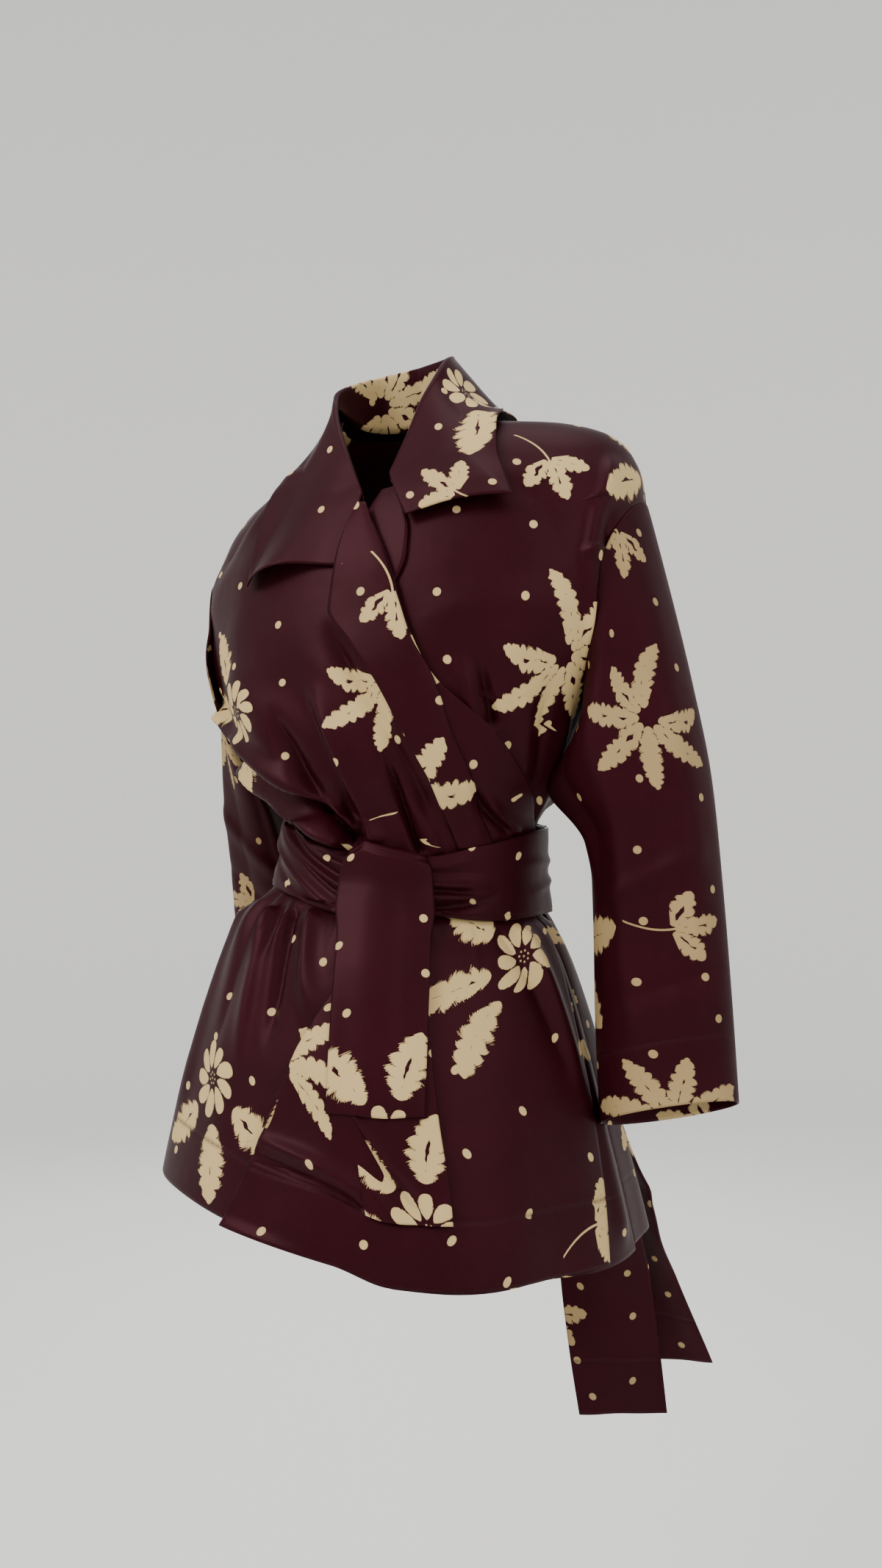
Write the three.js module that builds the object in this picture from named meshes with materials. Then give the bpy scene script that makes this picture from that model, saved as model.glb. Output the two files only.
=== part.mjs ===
// A kimono-style wrap jacket in soft silk, worn: a back, two fronts that cross right over left,
// wide dropped sleeves, a fold-over collar with two long points, a revers on each front, a tied sash
// with two ends at the front, and a tie with two ends that hangs from the sash behind the left hip.
//
// Millimetres. +Z is up, the wearer faces -Y, and the wearer's left is +X. The origin is the middle
// of the neck base, where the shoulders carry the jacket.
//
// Every body piece lies on one surface, given by a turn about the spine (0 at the centre front, 90 at
// the left side, 180 at the centre back) and a height. A layer is that surface moved out.
import * as THREE from "three";

const CLOTH = 1.4; // thickness of the body cloth
const SASH_CLOTH = 2.4; // the sash and the tie are two layers
const SEAM_TURN = 0.25; // degrees between two panels sewn side by side
const LAYER = 6.5; // how far the right front lies outside the left one
const HEM = -667; // height of the hem
const UNDER_HEM = -671; // the left front hangs a little lower inside
const SQUARE = 2.08; // how full the corners of a body ring are: 2 is an ellipse

// Rings of the worn body: reach from the spine to the right, the left, the front and the back.
const RINGS = [
  { z: 24, right: 57, left: 60, front: 52, back: 44 },
  { z: 8, right: 64, left: 78, front: 60, back: 64 },
  { z: -10, right: 82, left: 151, front: 69, back: 79 },
  { z: -25, right: 122, left: 180, front: 78, back: 87 },
  { z: -40, right: 147, left: 192, front: 86, back: 93 },
  { z: -65, right: 164, left: 201, front: 98, back: 98 },
  { z: -100, right: 174, left: 204, front: 109, back: 102 },
  { z: -150, right: 176, left: 196, front: 119, back: 105 },
  { z: -200, right: 163, left: 172, front: 125, back: 104 },
  { z: -240, right: 146, left: 150, front: 125, back: 100 },
  { z: -280, right: 125, left: 131, front: 121, back: 96 },
  { z: -318, right: 99, left: 114, front: 104, back: 86 },
  { z: -355, right: 97, left: 112, front: 99, back: 82 },
  { z: -390, right: 109, left: 117, front: 103, back: 86 },
  { z: -410, right: 132, left: 133, front: 118, back: 99 },
  { z: -440, right: 144, left: 148, front: 131, back: 111 },
  { z: -500, right: 160, left: 168, front: 148, back: 127 },
  { z: -560, right: 174, left: 185, front: 162, back: 142 },
  { z: -620, right: 191, left: 202, front: 174, back: 156 },
  { z: -675, right: 200, left: 216, front: 182, back: 169 },
];

// Heights at which the pieces have their rows of points: close on the shoulder and at the waist.
const ROWS = [
  24, 14, 3, -8, -20, -34, -54, -80, -115, -155, -197, -237, -272, -303, -330, -360, -390, -406,
  -426, -466, -525, -595, -667, -700, -730, -760, -800, -840,
];

// The wearer's stance: the left shoulder is up and the right hip out.
const STANCE = [
  { z: 80, tilt: 0.11, shift: -6 },
  { z: -60, tilt: 0.11, shift: 0 },
  { z: -355, tilt: -0.08, shift: -9 },
  { z: -675, tilt: -0.03, shift: -20 },
];

// Ridges and troughs of the worn cloth, from one end (turn, z) to the other, with their half-width in
// degrees on the side of smaller and of larger turn, and the share of the depth at either end.
const FOLDS = [
  { turn: 1, z: -425, toTurn: -21, toZ: -667, before: 4, after: 15, deep: 15, start: 0.1, end: 1 },
  { turn: -50, z: -405, toTurn: -30, toZ: -600, before: 6, after: 8, deep: 6, start: 0.6, end: 0.3 },
  { turn: -104, z: -420, toTurn: -108, toZ: -675, before: 9, after: 12, deep: 10, start: 0.1, end: 1 },
  { turn: -150, z: -420, toTurn: -152, toZ: -675, before: 9, after: 10, deep: 7, start: 0.1, end: 1 },
  { turn: 178, z: -425, toTurn: 180, toZ: -675, before: 11, after: 11, deep: 13, start: 0.1, end: 1 },
  { turn: 142, z: -420, toTurn: 146, toZ: -675, before: 11, after: 10, deep: 11, start: 0.1, end: 1 },
  { turn: 100, z: -405, toTurn: 106, toZ: -675, before: 8, after: 10, deep: 11, start: 0.4, end: 1 },
  { turn: 26, z: -440, toTurn: 36, toZ: -675, before: 14, after: 16, deep: 9, start: 0, end: 1 },
  { turn: 62, z: -440, toTurn: 60, toZ: -675, before: 10, after: 12, deep: -7, start: 0, end: 1 },
  { turn: -62, z: -190, toTurn: -14, toZ: -318, before: 10, after: 7, deep: 9, start: 0.2, end: 0.8 },
  { turn: -40, z: -150, toTurn: 4, toZ: -310, before: 8, after: 8, deep: -6, start: 0.1, end: 0.9 },
  { turn: 34, z: -200, toTurn: 47, toZ: -300, before: 8, after: 8, deep: -5, start: 0.3, end: 0.8 },
  { turn: -150, z: -230, toTurn: -152, toZ: -300, before: 9, after: 9, deep: 6, start: 0.2, end: 1 },
  { turn: 150, z: -230, toTurn: 152, toZ: -300, before: 9, after: 9, deep: 6, start: 0.2, end: 1 },
];

// How far the hem is lifted round the skirt by the hip that is out.
const HEM_LIFT = [
  { turn: -180, up: 14 },
  { turn: -140, up: 30 },
  { turn: -85, up: 45 },
  { turn: -45, up: 42 },
  { turn: -15, up: 31 },
  { turn: 8, up: 18 },
  { turn: 22, up: 5 },
  { turn: 60, up: 5 },
  { turn: 140, up: 5 },
  { turn: 180, up: 14 },
];
const LIFT_FROM = -400; // the lift grows from here down to the hem

// The openings for the arms: an oval cut in each side of the body surface.
const ARMHOLE = { side: 90, middle: -152, halfTall: 70, halfWide: 17.5 };

// Free edges of the fronts: the neckline down to the crossing, then across to the far side.
const RIGHT_EDGE = [
  { z: 24, turn: -50 },
  { z: 8, turn: -42 },
  { z: -12, turn: -33 },
  { z: -35, turn: -22 },
  { z: -60, turn: -8 },
  { z: -78, turn: 2 },
  { z: -119, turn: 12.5 },
  { z: -170, turn: 20.5 },
  { z: -206, turn: 29 },
  { z: -241, turn: 48 },
  { z: -268, turn: 60 },
  { z: -299, turn: 76 },
  { z: -321, turn: 84 },
  { z: -394, turn: 87 },
  { z: -463, turn: 84 },
  { z: -554, turn: 81 },
  { z: -667, turn: 75 },
];
const LEFT_EDGE = [
  { z: 24, turn: 50 },
  { z: 8, turn: 42 },
  { z: -12, turn: 33 },
  { z: -35, turn: 22 },
  { z: -60, turn: 8 },
  { z: -78, turn: -3 },
  { z: -145, turn: -17 },
  { z: -250, turn: -38 },
  { z: -318, turn: -46 },
  { z: -390, turn: -40 },
  { z: -450, turn: -22 },
  { z: -560, turn: -4 },
  { z: -675, turn: 13 },
];

// Each revers: its loose outer edge and its roll line, and how far out it lies.
const REVERS_RIGHT = [
  { z: -68, edge: -3, roll: 0.5, out: 12 },
  { z: -83, edge: -6.5, roll: 4, out: 12 },
  { z: -110, edge: -9.5, roll: 10.5, out: 12 },
  { z: -150, edge: -10.5, roll: 17, out: 10 },
  { z: -178, edge: -1, roll: 21.5, out: 9.5 },
  { z: -205, edge: 8.5, roll: 28.5, out: 9.5 },
  { z: -248, edge: 19.5, roll: 36, out: 9.5 },
  { z: -285, edge: 30, roll: 46.5, out: 9.5 },
  { z: -335, edge: 43.5, roll: 60, out: 9.5 },
];
const REVERS_LEFT = [
  { z: -54, edge: 12, roll: 4.5, out: 2.6 },
  { z: -75, edge: 17, roll: -2.5, out: 2.6 },
  { z: -91, edge: 19, roll: -6.5, out: 2.6 },
  { z: -112, edge: 18.5, roll: -11, out: 2.6 },
  { z: -133, edge: 14.5, roll: -14, out: 2.6 },
  { z: -148, edge: 8, roll: -16.5, out: 2.6 },
];

// The collar from the centre back to its front end, for each side: the fold that stands at the neck,
// and where the loose edge of its leaf lies on the body. The row at 0.79 is the long point.
const COLLAR_LEFT = [
  { at: 0, foldX: -1, foldY: 32, foldZ: 79, turn: 180, edgeZ: 0 },
  { at: 0.13, foldX: 29, foldY: 20, foldZ: 78, turn: 154, edgeZ: 1 },
  { at: 0.27, foldX: 43, foldY: -5, foldZ: 70, turn: 124, edgeZ: 2 },
  { at: 0.46, foldX: 48, foldY: -34, foldZ: 59, turn: 84, edgeZ: 6 },
  { at: 0.57, foldX: 47, foldY: -45, foldZ: 51, turn: 59, edgeZ: -12 },
  { at: 0.68, foldX: 42, foldY: -57, foldZ: 36, turn: 53, edgeZ: -47 },
  { at: 0.79, foldX: 36, foldY: -68, foldZ: 20, turn: 52, edgeZ: -81 },
  { at: 0.9, foldX: 27, foldY: -82, foldZ: -10, turn: 36, edgeZ: -79 },
  { at: 1, foldX: 17, foldY: -98, foldZ: -43, turn: 18.5, edgeZ: -84 },
];
const COLLAR_RIGHT = [
  { at: 0, foldX: -1, foldY: 32, foldZ: 79, turn: -180, edgeZ: 0 },
  { at: 0.13, foldX: -31, foldY: 19, foldZ: 74, turn: -154, edgeZ: 0 },
  { at: 0.27, foldX: -45, foldY: -6, foldZ: 65, turn: -124, edgeZ: 0 },
  { at: 0.46, foldX: -52, foldY: -36, foldZ: 51, turn: -84, edgeZ: -4 },
  { at: 0.57, foldX: -50, foldY: -46, foldZ: 42, turn: -54, edgeZ: -27 },
  { at: 0.68, foldX: -46, foldY: -57, foldZ: 32, turn: -50, edgeZ: -66 },
  { at: 0.79, foldX: -40, foldY: -68, foldZ: 16, turn: -46.5, edgeZ: -119 },
  { at: 0.9, foldX: -25, foldY: -86, foldZ: -16, turn: -27, edgeZ: -111 },
  { at: 1, foldX: -5, foldY: -101, foldZ: -58, turn: -6, edgeZ: -117 },
];
const COLLAR_OUT = 9.5; // how far the collar's leaf lies outside the body surface
const COLLAR_FOLD = 5; // width of the fold at the neck
const STAND_SEAM_Z = 27; // lower edge of the collar's stand, round the back
const STAND_FLARE = 9; // how much wider the stand is at its seam, at the back

// The sleeves below the armhole: outer and inner line of the tube, its middle in Y, its half-depth,
// and how far its front lies above its back.
const SLEEVE_LEFT = [
  { at: 0, outX: 206, outZ: -60, inX: 170, inZ: -236, y: 0, deep: 44, rise: 0 },
  { at: 0.12, outX: 219, outZ: -118, inX: 160, inZ: -258, y: 0, deep: 51, rise: 0 },
  { at: 0.28, outX: 238, outZ: -200, inX: 137, inZ: -288, y: 2, deep: 53, rise: 0 },
  { at: 0.45, outX: 256, outZ: -285, inX: 160, inZ: -338, y: 0, deep: 46, rise: 0 },
  { at: 0.62, outX: 266, outZ: -370, inX: 163, inZ: -402, y: -6, deep: 42, rise: 0 },
  { at: 0.8, outX: 274, outZ: -455, inX: 167, inZ: -480, y: -15, deep: 39, rise: 5 },
  { at: 1, outX: 281, outZ: -540, inX: 173, inZ: -566, y: -24, deep: 37, rise: 18 },
];
const SLEEVE_RIGHT = [
  { at: 0, outX: -184, outZ: -80, inX: -170, inZ: -225, y: 0, deep: 42, rise: 0 },
  { at: 0.12, outX: -191, outZ: -138, inX: -167, inZ: -250, y: 4, deep: 50, rise: 0 },
  { at: 0.28, outX: -204, outZ: -205, inX: -154, inZ: -284, y: 20, deep: 52, rise: 0 },
  { at: 0.45, outX: -209, outZ: -290, inX: -143, inZ: -336, y: 48, deep: 46, rise: 0 },
  { at: 0.62, outX: -217, outZ: -370, inX: -140, inZ: -402, y: 84, deep: 41, rise: 0 },
  { at: 0.8, outX: -234, outZ: -455, inX: -150, inZ: -475, y: 124, deep: 38, rise: 0 },
  { at: 1, outX: -254, outZ: -538, inX: -164, inZ: -550, y: 160, deep: 36, rise: 0 },
];

// The sash round the waist, narrowest where it is tied.
const SASH = [
  { turn: -180, top: -320, bottom: -389 },
  { turn: -57, top: -325, bottom: -386 },
  { turn: -33, top: -333, bottom: -391 },
  { turn: -5, top: -343, bottom: -401 },
  { turn: 14, top: -346, bottom: -399 },
  { turn: 32, top: -342, bottom: -396 },
  { turn: 53, top: -331, bottom: -398 },
  { turn: 90, top: -317, bottom: -395 },
  { turn: 180, top: -320, bottom: -389 },
];
const SASH_OUT = 12.5;

// The sash's two ends at the front, from the tie down: where their middle lies, their width, and how
// far out they lie.
const TAIL_UPPER = [
  { z: -337, turn: 14, wide: 60, out: 15 },
  { z: -342, turn: 14, wide: 65, out: 17.5 },
  { z: -352, turn: 14, wide: 67, out: 18 },
  { z: -390, turn: 14.5, wide: 69, out: 18.8 },
  { z: -425, turn: 15.3, wide: 70, out: 17.5 },
  { z: -480, turn: 15.8, wide: 70, out: 16 },
  { z: -544, turn: 16.3, wide: 70, out: 16 },
];
const TAIL_LOWER = [
  { z: -403, turn: 15, wide: 54, out: 11 },
  { z: -450, turn: 17, wide: 58, out: 11 },
  { z: -545, turn: 21, wide: 63, out: 11 },
  { z: -590, turn: 23.5, wide: 64, out: 11 },
  { z: -619, turn: 25, wide: 61, out: 11 },
];

// The tie behind the left hip: a wrap round the sash and two ends, hanging past the hem. Each end's
// face looks the way its turn gives.
const TIE_WRAP = { turn: 128, halfTurn: 13, top: -315, bottom: -396, out: 16.5 };
const TIE_LONG = [
  { z: -401, turn: 130, out: 8, wide: 52, face: 130 },
  { z: -470, turn: 131, out: 9, wide: 66, face: 131 },
  { z: -560, turn: 133.5, out: 10, wide: 76, face: 133 },
  { z: -650, turn: 136, out: 13, wide: 82, face: 138 },
  { z: -700, turn: 136, out: 22, wide: 84, face: 160 },
  { z: -756, turn: 135, out: 31, wide: 85, face: 188 },
  { z: -828, turn: 133, out: 37, wide: 86, face: 201 },
  { z: -882, turn: 132, out: 43, wide: 84, face: 204 },
];
const TIE_SHORT = [
  { z: -401, turn: 126, out: 15, wide: 48, face: 126 },
  { z: -470, turn: 129, out: 20, wide: 58, face: 129 },
  { z: -560, turn: 132.5, out: 28, wide: 64, face: 133 },
  { z: -650, turn: 135, out: 42, wide: 68, face: 139 },
  { z: -700, turn: 135, out: 54, wide: 70, face: 152 },
  { z: -756, turn: 133.5, out: 72, wide: 71, face: 180 },
  { z: -844, turn: 131.5, out: 108, wide: 72, face: 200 },
];

const SILK = { color: 0x2a0f14, roughness: 0.42, metalness: 0 };
const radians = THREE.MathUtils.degToRad;
const lerp = THREE.MathUtils.lerp;

// A value read from a table's column at a height or place, on a smooth curve that never overshoots.
function read(table, by, key, where) {
  const down = table[0][by] > table[table.length - 1][by];
  const rows = down ? [...table].reverse() : table;
  const x = rows.map((row) => row[by]);
  const y = rows.map((row) => row[key]);
  const last = rows.length - 1;
  if (where <= x[0]) return y[0];
  if (where >= x[last]) return y[last];
  let i = 0;
  while (where > x[i + 1]) i += 1;
  const rise = (k) => (y[k + 1] - y[k]) / (x[k + 1] - x[k]);
  const slope = (k) => {
    if (k === 0 || k === last) return rise(k === 0 ? 0 : last - 1);
    const product = rise(k - 1) * rise(k);
    return product <= 0 ? 0 : (2 * product) / (rise(k - 1) + rise(k));
  };
  const step = x[i + 1] - x[i];
  const t = (where - x[i]) / step;
  const a = y[i] * (1 + 2 * t) * (1 - t) ** 2 + y[i + 1] * t * t * (3 - 2 * t);
  return a + step * (slope(i) * t * (1 - t) ** 2 - slope(i + 1) * t * t * (1 - t));
}

// The shorter way from one turn to another, in degrees.
const turnBetween = (from, to) => ((((to - from) % 360) + 540) % 360) - 180;

// How far all the folds together push the surface out at a place.
function foldAt(turn, z) {
  let sum = 0;
  for (const fold of FOLDS) {
    const along = (fold.z - z) / (fold.z - fold.toZ);
    const kept = THREE.MathUtils.clamp(along, 0, 1);
    const middle = lerp(fold.turn, fold.toTurn, kept);
    const across = turnBetween(middle, turn);
    const wide = across < 0 ? fold.before : fold.after;
    const past = (along - kept) * 5;
    const share = lerp(fold.start, fold.end, kept) * Math.exp(-past * past);
    sum += fold.deep * share * Math.exp(-((across / wide) ** 2));
  }
  return sum;
}

// The body surface before the stance, as a ring of changing reach at each height.
function bodySurface(turn, z) {
  const side = Math.sin(radians(turn));
  const ahead = Math.cos(radians(turn));
  const across = read(RINGS, "z", side > 0 ? "left" : "right", z);
  const along = read(RINGS, "z", ahead > 0 ? "front" : "back", z);
  const full = (Math.abs(side) / across) ** SQUARE + (Math.abs(ahead) / along) ** SQUARE;
  const reach = full ** (-1 / SQUARE) + foldAt(turn, z);
  const share = THREE.MathUtils.clamp((z - LIFT_FROM) / (HEM - LIFT_FROM), 0, 1);
  const lift = share * read(HEM_LIFT, "turn", "up", turnBetween(0, turn));
  return new THREE.Vector3(reach * side, -reach * ahead, z + lift);
}

// The same surface moved out along its normal.
function bodyMoved(turn, z, out) {
  const here = bodySurface(turn, z);
  if (out === 0) return here;
  const along = bodySurface(turn + 0.5, z).sub(bodySurface(turn - 0.5, z));
  const up = bodySurface(turn, z + 1).sub(bodySurface(turn, z - 1));
  return here.addScaledVector(along.cross(up).normalize(), out);
}

// The wearer's stance, put on last.
function stand(point) {
  const tilt = read(STANCE, "z", "tilt", point.z);
  const shift = read(STANCE, "z", "shift", point.z);
  return new THREE.Vector3(point.x + shift, point.y, point.z + tilt * point.x);
}

// Half the width of the armhole at a height, as a turn from the side.
function armholeTurn(z) {
  const t = (z - ARMHOLE.middle) / ARMHOLE.halfTall;
  return Math.abs(t) < 1 ? ARMHOLE.halfWide * Math.sqrt(1 - t * t) : 0;
}

const steps = (count) => Array.from({ length: count + 1 }, (_, i) => i / count);
const rowsBetween = (top, bottom) => [top, ...ROWS.filter((z) => z < top - 5 && z > bottom + 5), bottom];

// A grid of points, a row for each of the first values and a column for each of the second.
function grid(rows, columns, at) {
  return rows.map((row) => columns.map((column) => at(row, column)));
}

// The grid moved in along its own normals.
function movedIn(points, distance, closed) {
  const last = points[0].length - 1;
  const step = (j) => (closed ? (j + last) % last : THREE.MathUtils.clamp(j, 0, last));
  return points.map((row, i) =>
    row.map((point, j) => {
      const above = points[Math.max(i - 1, 0)][j];
      const below = points[Math.min(i + 1, points.length - 1)][j];
      const along = row[step(j + 1)].clone().sub(row[step(j - 1)]);
      const normal = along.cross(above.clone().sub(below)).normalize();
      return point.clone().addScaledVector(normal, -distance);
    }),
  );
}

// One closed wall between an outer and an inner grid; closed grids meet themselves like a tube.
function wall(name, outer, inner, closed = false) {
  const rows = outer.length;
  const columns = outer[0].length;
  const turns = closed ? columns - 1 : columns;
  const positions = [outer, inner].flatMap((side) =>
    side.flatMap((row) => row.slice(0, turns).flatMap((p) => p.toArray())),
  );
  const index = [];
  const at = (side, i, j) => side * rows * turns + i * turns + (j % turns);
  const quad = (a, b, c, d) => index.push(a, b, c, a, c, d);
  for (let i = 0; i < rows - 1; i++)
    for (let j = 0; j < columns - 1; j++) {
      quad(at(0, i, j), at(0, i + 1, j), at(0, i + 1, j + 1), at(0, i, j + 1));
      quad(at(1, i, j), at(1, i, j + 1), at(1, i + 1, j + 1), at(1, i + 1, j));
    }
  for (let j = 0; j < columns - 1; j++) {
    quad(at(0, 0, j), at(0, 0, j + 1), at(1, 0, j + 1), at(1, 0, j));
    quad(at(0, rows - 1, j + 1), at(0, rows - 1, j), at(1, rows - 1, j), at(1, rows - 1, j + 1));
  }
  if (!closed)
    for (let i = 0; i < rows - 1; i++) {
      quad(at(0, i + 1, 0), at(0, i, 0), at(1, i, 0), at(1, i + 1, 0));
      quad(at(0, i, columns - 1), at(0, i + 1, columns - 1), at(1, i + 1, columns - 1), at(1, i, columns - 1));
    }
  const geometry = new THREE.BufferGeometry();
  geometry.setAttribute("position", new THREE.Float32BufferAttribute(positions, 3));
  geometry.setIndex(index);
  const mesh = new THREE.Mesh(geometry, new THREE.MeshStandardMaterial(SILK));
  mesh.name = name;
  return mesh;
}

// A panel of the body: its two side edges as turns at a height, its distance out, its heights.
function panel(name, { columns, from, to, out, top, bottom }) {
  const layer = (inset) =>
    grid(rowsBetween(top, bottom), steps(columns), (z, share) => {
      const turn = lerp(from(z), to(z), share);
      return stand(bodyMoved(turn, z, out(turn) - inset));
    });
  return wall(name, layer(0), layer(CLOTH));
}

const smooth = (low, high, value) => THREE.MathUtils.smoothstep(value, low, high);
const rightOut = (turn) => LAYER * smooth(-72, -50, turn);

function bodyPanels() {
  const rightSide = (z) => -90 + armholeTurn(z) + SEAM_TURN;
  const leftSide = (z) => 90 - armholeTurn(z) - SEAM_TURN;
  return [
    panel("back", {
      columns: 20,
      from: (z) => 90 + armholeTurn(z) + SEAM_TURN,
      to: (z) => 270 - armholeTurn(z) - SEAM_TURN,
      out: () => 0,
      top: 23,
      bottom: HEM,
    }),
    panel("front_right", {
      columns: 22,
      from: rightSide,
      to: (z) => read(RIGHT_EDGE, "z", "turn", z),
      out: rightOut,
      top: 22,
      bottom: HEM,
    }),
    panel("front_left", {
      columns: 16,
      from: (z) => read(LEFT_EDGE, "z", "turn", z),
      to: leftSide,
      out: () => 0,
      top: 22,
      bottom: UNDER_HEM,
    }),
  ];
}

function revers(name, table, from, to) {
  const heights = rowsBetween(table[0].z, table[table.length - 1].z);
  const layer = (inset) =>
    grid(heights, steps(3), (z, share) => {
      const turn = lerp(read(table, "z", from, z), read(table, "z", to, z), share);
      return stand(bodyMoved(turn, z, read(table, "z", "out", z) - inset));
    });
  return wall(name, layer(0), layer(CLOTH));
}

// A point kept at least so far outside the body surface, below the neck.
function clearOfBody(point, out) {
  const kept = point.clone();
  for (let pass = 0; pass < 3 && kept.z < 24; pass++) {
    const turn = THREE.MathUtils.radToDeg(Math.atan2(kept.x, -kept.y));
    const skin = bodySurface(turn, kept.z);
    const normal = bodyMoved(turn, kept.z, 1).sub(skin);
    const short = out - kept.clone().sub(skin).dot(normal);
    if (short > 0) kept.addScaledVector(normal, short);
  }
  return kept;
}

// The collar: a stand that rises from the neck seam, a fold, and the leaf that falls to its edge.
function collar() {
  const outer = grid(steps(26), steps(11), (i, j) => {
    const place = 2 * i - 1;
    const table = place < 0 ? COLLAR_RIGHT : COLLAR_LEFT;
    const ends = Math.abs(place);
    const value = (key) => read(table, "at", key, ends);
    const fold = new THREE.Vector3(value("foldX"), value("foldY"), value("foldZ"));
    const away = new THREE.Vector3(fold.x, fold.y + 40, 0).normalize();
    const column = Math.round(j * 11);
    if (column < 2) {
      const tall = lerp(fold.z - STAND_SEAM_Z, 6, smooth(0.2, 0.7, ends));
      const flare = STAND_FLARE * smooth(0.5, 0, ends) * (1 - column / 2);
      const seam = fold.clone().addScaledVector(away, flare - COLLAR_FOLD / 2);
      seam.z -= tall * (1 - column / 2);
      return stand(seam);
    }
    if (column < 6) {
      const round = (Math.PI * (column - 2)) / 3;
      fold.addScaledVector(away, (-Math.cos(round) * COLLAR_FOLD) / 2);
      fold.z += (Math.sin(round) * COLLAR_FOLD) / 2;
      return stand(fold);
    }
    const fall = (column - 5) / 6;
    const foldTurn = THREE.MathUtils.radToDeg(Math.atan2(fold.x, -fold.y));
    const turn = foldTurn + turnBetween(foldTurn, value("turn")) * 0.4;
    const start = fold.addScaledVector(away, COLLAR_FOLD / 2);
    const rest = bodyMoved(turn, Math.min(8, (fold.z + value("edgeZ")) / 2), COLLAR_OUT);
    const edge = bodyMoved(value("turn"), value("edgeZ"), COLLAR_OUT);
    const leaf = start.lerp(rest, fall).lerp(rest.lerp(edge, fall), fall);
    return stand(clearOfBody(leaf, COLLAR_OUT));
  });
  return wall("collar", outer, movedIn(outer, CLOTH, false));
}

// A sleeve: its top is the armhole's oval on the body, and its tube follows the arm down to the cuff.
function sleeve(name, side, table) {
  const outer = grid(steps(12), steps(16), (i, j) => {
    const round = 2 * Math.PI * j;
    const z = ARMHOLE.middle + (ARMHOLE.halfTall - 0.6) * Math.cos(round);
    const swing = (ARMHOLE.halfWide - 0.4) * Math.sin(round);
    const top = stand(bodyMoved(side * (ARMHOLE.side - swing), z, 0));
    const value = (key) => read(table, "at", key, i);
    const across = Math.cos(round) / 2;
    const tube = new THREE.Vector3(
      lerp(value("inX"), value("outX"), 0.5 + across),
      value("y") - value("deep") * Math.sin(round),
      lerp(value("inZ"), value("outZ"), 0.5 + across) + value("rise") * Math.sin(round),
    );
    return top.lerp(tube, smooth(0, 0.3, i));
  });
  if (side < 0) outer.forEach((row) => row.reverse());
  return wall(name, outer, movedIn(outer, CLOTH, true), true);
}

function sash() {
  const layer = (inset) =>
    grid(steps(2), steps(40), (i, j) => {
      const turn = lerp(-180, 180, j);
      const z = lerp(read(SASH, "turn", "top", turn), read(SASH, "turn", "bottom", turn), i);
      return stand(bodyMoved(turn, z, SASH_OUT - inset));
    });
  return wall("sash", layer(0), layer(SASH_CLOTH), true);
}

// An end of the sash that lies over the front.
function sashTail(name, table) {
  const heights = rowsBetween(table[0].z, table[table.length - 1].z);
  const layer = (inset) =>
    grid(heights, steps(3), (z, share) => {
      const turn = read(table, "z", "turn", z);
      const middle = bodyMoved(turn, z, 0);
      const swing = ((share - 0.5) * read(table, "z", "wide", z)) / Math.hypot(middle.x, middle.y);
      const out = read(table, "z", "out", z) - inset;
      return stand(bodyMoved(turn + THREE.MathUtils.radToDeg(swing), z, out));
    });
  return wall(name, layer(0), layer(SASH_CLOTH));
}

// An end of the tie: a flat ribbon that hangs clear of the skirt and turns as it falls.
function tieTail(name, table) {
  const outer = grid(rowsBetween(table[0].z, table[table.length - 1].z), steps(3), (z, share) => {
    const face = radians(read(table, "z", "face", z));
    const aside = (share - 0.5) * read(table, "z", "wide", z);
    const middle = bodyMoved(read(table, "z", "turn", z), z, read(table, "z", "out", z));
    return stand(middle.add(new THREE.Vector3(Math.cos(face), Math.sin(face), 0).multiplyScalar(aside)));
  });
  return wall(name, outer, movedIn(outer, SASH_CLOTH, false));
}

function tieWrap() {
  const { turn, halfTurn, top, bottom, out } = TIE_WRAP;
  const layer = (inset) =>
    grid(steps(3), steps(5), (i, j) => {
      const bulge = 2.5 * Math.sin(Math.PI * i) * Math.sin(Math.PI * j);
      const z = lerp(top, bottom, i);
      return stand(bodyMoved(lerp(turn - halfTurn, turn + halfTurn, j), z, out + bulge - inset));
    });
  return wall("tie_wrap", layer(0), layer(SASH_CLOTH));
}

const jacket = new THREE.Group();
jacket.add(
  ...bodyPanels(),
  sleeve("sleeve_right", -1, SLEEVE_RIGHT),
  sleeve("sleeve_left", 1, SLEEVE_LEFT),
  collar(),
  revers("revers_right", REVERS_RIGHT, "edge", "roll"),
  revers("revers_left", REVERS_LEFT, "roll", "edge"),
  sash(),
  sashTail("sash_tail_upper", TAIL_UPPER),
  sashTail("sash_tail_lower", TAIL_LOWER),
  tieWrap(),
  tieTail("tie_tail_long", TIE_LONG),
  tieTail("tie_tail_short", TIE_SHORT),
);

export default jacket;
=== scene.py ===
"""A kimono-style wrap jacket in printed silk satin: the finished cloth of every cut piece.

The tables and the surface formulas are in millimetres, as a cutter reads them, and the meshes are in
metres. +Z is up, the wearer faces -Y and the wearer's left is +X. Every body piece lies on one surface,
given by a turn about the spine (0 centre front, 90 left side, 180 centre back) and a height; a layer is
that surface moved out along its normal, and each fold, gather and crease adds to its reach.
"""
import math

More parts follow.
